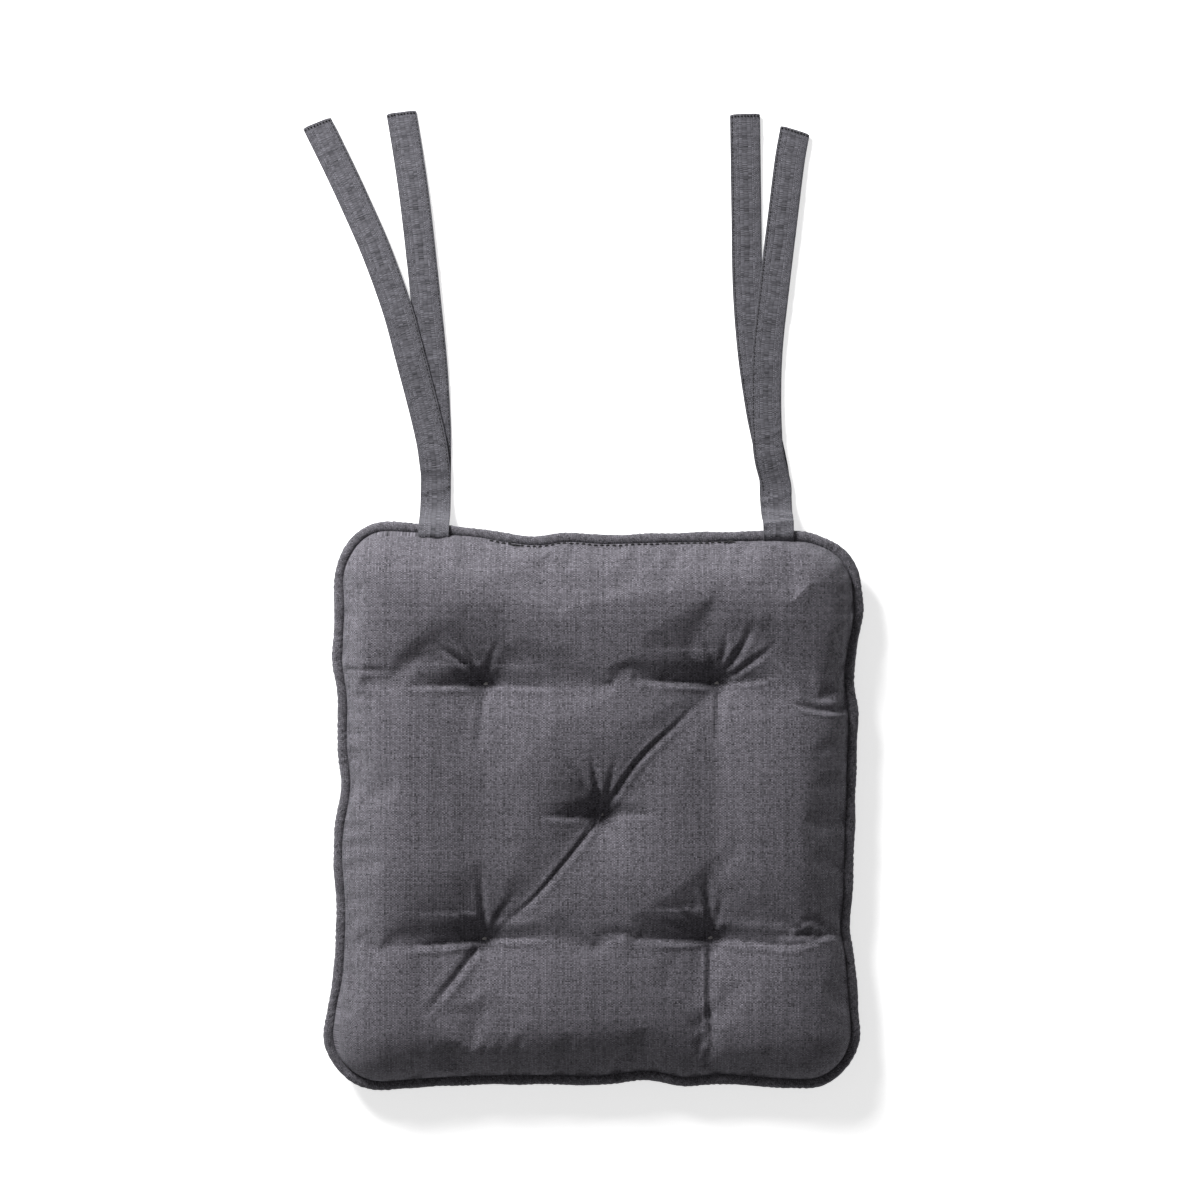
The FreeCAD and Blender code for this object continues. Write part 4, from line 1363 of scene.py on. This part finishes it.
    def rumple(
        self, points: np.ndarray, travelled: np.ndarray, wide: np.ndarray, up: np.ndarray
    ) -> np.ndarray:
        """Adds the slight puckers and the cupping that stitching gives a folded strip.

        Args:
            points: The strip's points.
            travelled: Distance along the strip.
            wide: Distance from the middle for each column.
            up: Directions away from the floor.

        Returns:
            The moved points.
        """
        random = np.random.default_rng(int(self.route.waves * 10))
        bumps = np.zeros((len(travelled), len(wide)))
        for waves in (3, 5, 8, 13, 21, 34):
            phase, tilt = random.uniform(0, math.tau), random.normal()
            size = 0.35 * MM * random.uniform(0.6, 1.2) * (4 / (waves + 3)) ** 0.5
            lean = np.sin(wide / self.width * math.pi * 1.3 * tilt + phase)
            wave = np.cos(travelled[:, None] / travelled[-1] * math.tau * waves + phase)
            bumps += size * wave * lean[None, :]
        loose = smooth_step(20 * MM, 60 * MM, travelled)[:, None]
        bumps = np.abs(bumps) * loose
        for at, high, slant in self.route.kinks:
            off = travelled[:, None] - at * MM - slant * wide[None, :]
            bumps += high * MM * np.exp(-((off / (2.6 * MM)) ** 2))
        return points + bumps[..., None] * up[:, None, :]

    def fabric_places(self, travelled: np.ndarray) -> np.ndarray:
        """Fabric coordinates round the strip, in millimetres."""
        girth = np.linspace(0.0, 2 * (self.width + self.thickness) / MM, self.facets + 1)
        return np.stack(np.broadcast_arrays(girth[None, :], travelled[:, None] / MM), axis=-1)

    def close_end(self, piece: bpy.types.Object, ring: np.ndarray, weave: np.ndarray, rows: int) -> None:
        """Closes the free end of a leg with a rounded cap.

        Args:
            piece: The leg.
            ring: The points of its last ring.
            weave: Their fabric coordinates.
            rows: How many rings it has.
        """
        shape = bmesh.new()
        shape.from_mesh(piece.data)
        shape.verts.ensure_lookup_table()
        first = (rows - 1) * self.facets
        last_ring = shape.verts[first : first + self.facets]
        half = self.facets // 2
        layer = shape.loops.layers.uv["Weave"]
        for column in range(half):
            places = (column, column + 1, (-column - 1) % self.facets, (-column) % self.facets)
            corners = [last_ring[place] for place in places]
            corners = list(dict.fromkeys(corners))
            if len(corners) < 3:
                continue
            face = shape.faces.new(corners)
            face.smooth = True
            for loop in face.loops:
                loop[layer].uv = weave[column]
        bmesh.ops.recalc_face_normals(shape, faces=shape.faces)
        shape.to_mesh(piece.data)
        shape.free()

    def stitching(
        self,
        points: np.ndarray,
        wide: np.ndarray,
        high: np.ndarray,
        up: np.ndarray,
        travelled: np.ndarray,
        first: int,
    ) -> bpy.types.Object:
        """The stitches along one edge of the free leg and across its hem.

        Args:
            points: The strip's points.
            wide: Distance from the middle for each column.
            high: Height in the section for each column.
            up: Directions away from the floor.
            travelled: Distance along the strip.
            first: The first station of the free leg.

        Returns:
            The stitches as one piece.
        """
        side = -1.0 if self.pair is Pair.RIGHT else 1.0
        inset = (self.width / 2 - self.stitch_inset) * side
        upper = np.flatnonzero(high > self.thickness / 2)
        column = upper[np.argmin(np.abs(wide[upper] - inset))]
        last = int(np.argmax(travelled > travelled[-1] - self.hem))
        row = stitch_row(
            self.name + "_edge",
            points[first:last, column],
            up[first:last],
            self.stitch_pitch,
            self.edge_thread,
        )
        across = upper[np.argsort(wide[upper])][2:-2]
        level = np.tile(up[last], (len(across), 1))
        # the thick dark hem stitches are partly real stitches and partly painted shade for the shadow of the
        # hem fold
        hem_row = stitch_row(
            self.name + "_hem", points[last, across], level, self.hem_pitch, self.hem_thread_and_fold_shade, gap=0.35
        )
        return joined(self.name + "_seam", [row, hem_row])


# ---------------------------------------------------------------- the whole pad

TUFT_NAMES = ("centre", "back_left", "back_right", "front_left", "front_right")
# where the hand-closed seam starts and ends, and where its thread is knotted, in mm
CLOSING_SPAN = (-82, 98)
CLOSING_KNOTS = (-60, 95)


@dataclass
class SeatPad:
    """The cushion with its edge, threads and ties."""

    pieces: list[bpy.types.Object] = field(default_factory=list)
    tuft_places: tuple[tuple[float, float], ...] = (
        (3.6, -5), (-79, 88), (85, 88.5), (-80, -93), (80.5, -92.5)
    )
    tie_blends: tuple[float, ...] = (193 * MM, 204 * MM, 226 * MM, 252 * MM)
    cord_share: float = 0.72
    underside_dish: float = -4.0 * MM
    crown_lift: float = 1.0 * MM
    twine_sunk: float = 1.2 * MM
    # how far the filling stays inside the upper and the lower panel, and its smaller plan
    filling_gaps: tuple[float, float] = (-2.5 * MM, 1.2 * MM)
    filling_share: float = 0.975
    edge_stitch: tuple[float, float] = (3.4 * MM, 0.5 * MM)
    closing_stitch: tuple[float, float] = (4.4 * MM, 1.2 * MM)
    knot_thread: float = 1.0 * MM
    knot_run: Points = ((1.5, 4.0), (-1.2, 1.2), (-0.4, 0.4))

    def make(self) -> None:
        """Builds every piece."""
        low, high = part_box("piping_sleeve")
        outline = Outline(high.x, high.y)
        seam = (low.z + high.z) / 2
        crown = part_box("top_panel")[1].z
        tufts = tuple((x * MM, y * MM) for x, y in self.tuft_places)
        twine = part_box("tuft_thread_centre")
        piping = Piping(outline, seam, (high.z - low.z) / 2)
        top = Panel(outline, Side.TOP, tufts, seam, crown + self.crown_lift, twine[1].z - self.twine_sunk)
        bottom = Panel(
            outline, Side.BOTTOM, tufts, seam, self.underside_dish, twine[0].z,
            cells=170, fill_stride=2, roll=45 * MM, tuft_spread=14 * MM,
        )
        top_panel = finish_piece(top.make("top_cover"), PANEL_COTTON, "top_fabric", "top_panel")
        bottom_panel = finish_piece(
            bottom.make("bottom_cover"), UNDER_COTTON, "bottom_fabric", "bottom_panel"
        )
        edge = finish_piece(piping.make("piping"), BIAS_COTTON, "piping_fabric", "piping_sleeve")
        core = replace(piping, radius=piping.radius * self.cord_share, inset=piping.radius)
        cord = finish_piece(core.make("cord"), PIPING_CORD, "cotton_cord", "piping_cord")
        filling = finish_piece(self.make_filling(top, bottom), WADDING, "polyester_fill", "fibre_fill")
        self.pieces += [top_panel, bottom_panel, edge, cord, filling, *self.make_seams(top)]
        for name, place in zip(TUFT_NAMES, tufts):
            tuft = Tuft("twine_" + name, place, top.tuft_height, bottom.tuft_height).make()
            self.pieces.append(finish_piece(tuft, TUFT_TWINE, "tufting_twine", "tuft_thread_" + name))
        for piece in self.pieces:
            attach(piece, "pad")
            log.info("%s: %d faces", piece.name, len(piece.data.polygons))
        self.make_ties(piping)

    def make_filling(self, top: Panel, bottom: Panel) -> bpy.types.Object:
        """Builds the fibre filling inside the two panels.

        Args:
            top: The upper panel.
            bottom: The lower panel.

        Returns:
            The filling as one piece: an upper and a lower half that meet at the edge seam.
        """
        halves = []
        for panel, gap in zip((top, bottom), self.filling_gaps):
            shape = panel.points.copy()
            limit, keep = (np.maximum, np.minimum) if gap < 0 else (np.minimum, np.maximum)
            for axis in (0, 1):
                for step in (1, 2, 3):
                    before, after = np.roll(shape[..., 2], step, axis), np.roll(shape[..., 2], -step, axis)
                    shape[..., 2] = keep(shape[..., 2], keep(before, after))
            shape = shape[:: panel.fill_stride, :: panel.fill_stride]
            shape[..., :2] *= self.filling_share
            shape[..., 2] = keep(limit(shape[..., 2] + gap, panel.seam_height), shape[..., 2] + gap / 2)
            shape = shape if gap < 0 else shape[::-1]
            halves.append(lattice("filling", shape, np.zeros((*shape.shape[:2], 2))))
        return joined("filling", halves)

    def make_seams(self, top: Panel) -> list[bpy.types.Object]:
        """Builds the edge seam's stitches and the hand-closed seam at the back.

        Args:
            top: The upper panel.

        Returns:
            The two seams.
        """
        rows = [stitch_row("row", *top.edge_line(side, 1), *self.edge_stitch) for side in range(4)]
        edge_seam = finish_piece(
            joined("edge_seam", rows), THREAD_WITH_HOLE_SHADE, "sewing_thread", "perimeter_seam_thread"
        )
        line, away = top.edge_line(1, 4)
        near, far = CLOSING_SPAN
        chosen = (line[:, 0] > near * MM) & (line[:, 0] < far * MM)
        raised = line[chosen] + away[chosen] * 0.3 * MM
        parts = [stitch_row("row", raised, away[chosen], *self.closing_stitch, gap=0.3)]
        random = np.random.default_rng(3)
        for middle in CLOSING_KNOTS:
            spot = line[np.argmin(np.abs(line[:, 0] - middle * MM))]
            for _ in range(4):
                share = np.linspace(-1.0, 1.0, 11)[:, None]
                run = np.array([random.uniform(low, high) for low, high in self.knot_run]) * MM
                lift = np.array([0.0, 0.3, 0.9]) * (1.0 - share**2) * 0.9 * MM
                shift = np.array([random.normal() * 1.5, random.normal() * 0.5, 0.0]) * MM
                parts.append(tube("knot", spot + shift + share * run + lift, self.knot_thread))
        closing = finish_piece(
            joined("closing_seam", parts), THREAD_WITH_HOLE_SHADE, "sewing_thread", "closing_seam_thread"
        )
        return [edge_seam, closing]

    def make_ties(self, piping: Piping) -> None:
        """Builds the four legs of the ties.

        Args:
            piping: The edge that they come out over.
        """
        for name, route in sorted(ROUTES.items(), key=lambda item: item[1].layer):
            pair = Pair.LEFT if "left" in name else Pair.RIGHT
            root = f"tie_{pair.value}_root"
            tie = TieLeg(name, pair, route, piping)
            start, leg, seam = tie.make(TIE_COTTON)
            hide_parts(f"tie_{pair.value}_anchor", root)
            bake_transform(start)
            for piece in (leg, seam):
                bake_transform(piece)
            log.info("%s: %d faces", leg.name, len(leg.data.polygons))


# ---------------------------------------------------------------- studio


@dataclass(frozen=True)
class Studio:
    """Pale paper, soft light from the upper left, and a camera straight above."""

    aim: tuple[float, float] = (2.1 * MM, 147.4 * MM)
    view_width: float = 0.854
    distance: float = 2.4
    paper_size: float = 14.0
    sky: float = 0.16
    key: tuple[tuple[float, float, float], float, float] = ((-0.92, 1.36, 0.94), 0.6, 72.0)
    fill: tuple[tuple[float, float, float], float, float] = ((0.3, -0.2, 2.6), 1.8, 4.0)
    object_height: float = 0.02

    def make_camera(self) -> None:
        """Sets the camera straight above, with the back edge at the top of the picture."""
        data = bpy.data.cameras.new("camera")
        data.lens = data.sensor_width / 2 / (self.view_width / 2 / (self.distance - self.object_height))
        camera = bpy.data.objects.new("camera", data)
        camera.location = (*self.aim, self.distance)
        bpy.context.collection.objects.link(camera)
        bpy.context.scene.camera = camera

    def add_light(self, name: str, place: tuple[float, float, float], size: float, power: float) -> None:
        """Adds a square soft light that faces the pad.

        Args:
            name: What it is for.
            place: Where it hangs.
            size: Its side.
            power: Its power in watts.
        """
        data = bpy.data.lights.new(name, "AREA")
        data.size, data.energy = size, power
        light = bpy.data.objects.new(name, data)
        light.location = place
        light.rotation_euler = (Vector((0, 0.1, 0)) - Vector(place)).to_track_quat("-Z", "Y").to_euler()
        bpy.context.collection.objects.link(light)

    def make(self) -> None:
        """Builds the floor, the lights and the sky."""
        size = self.paper_size
        mesh = bpy.data.meshes.new("paper")
        mesh.from_pydata(
            [(-size, -size, 0), (size, -size, 0), (size, size, 0), (-size, size, 0)], [], [(0, 1, 2, 3)]
        )
        paper = bpy.data.objects.new("paper", mesh)
        mesh.materials.append(StudioPaper().material())
        bpy.context.collection.objects.link(paper)
        self.add_light("key", *self.key)
        self.add_light("fill", *self.fill)
        world = bpy.data.worlds.new("studio")
        world.use_nodes = True
        world.node_tree.nodes["Background"].inputs[0].default_value = (1.0, 1.0, 1.0, 1.0)
        world.node_tree.nodes["Background"].inputs[1].default_value = self.sky
        bpy.context.scene.world = world
        bpy.context.scene.view_settings.view_transform = "Standard"


def main() -> None:
    """Sets up the studio and builds the pad."""
    studio = Studio()
    studio.make_camera()
    pad = SeatPad()
    pad.make()
    log.info("seat pad: %d pieces besides the ties", len(pad.pieces))
    studio.make()


if __name__ == "__main__":
    main()
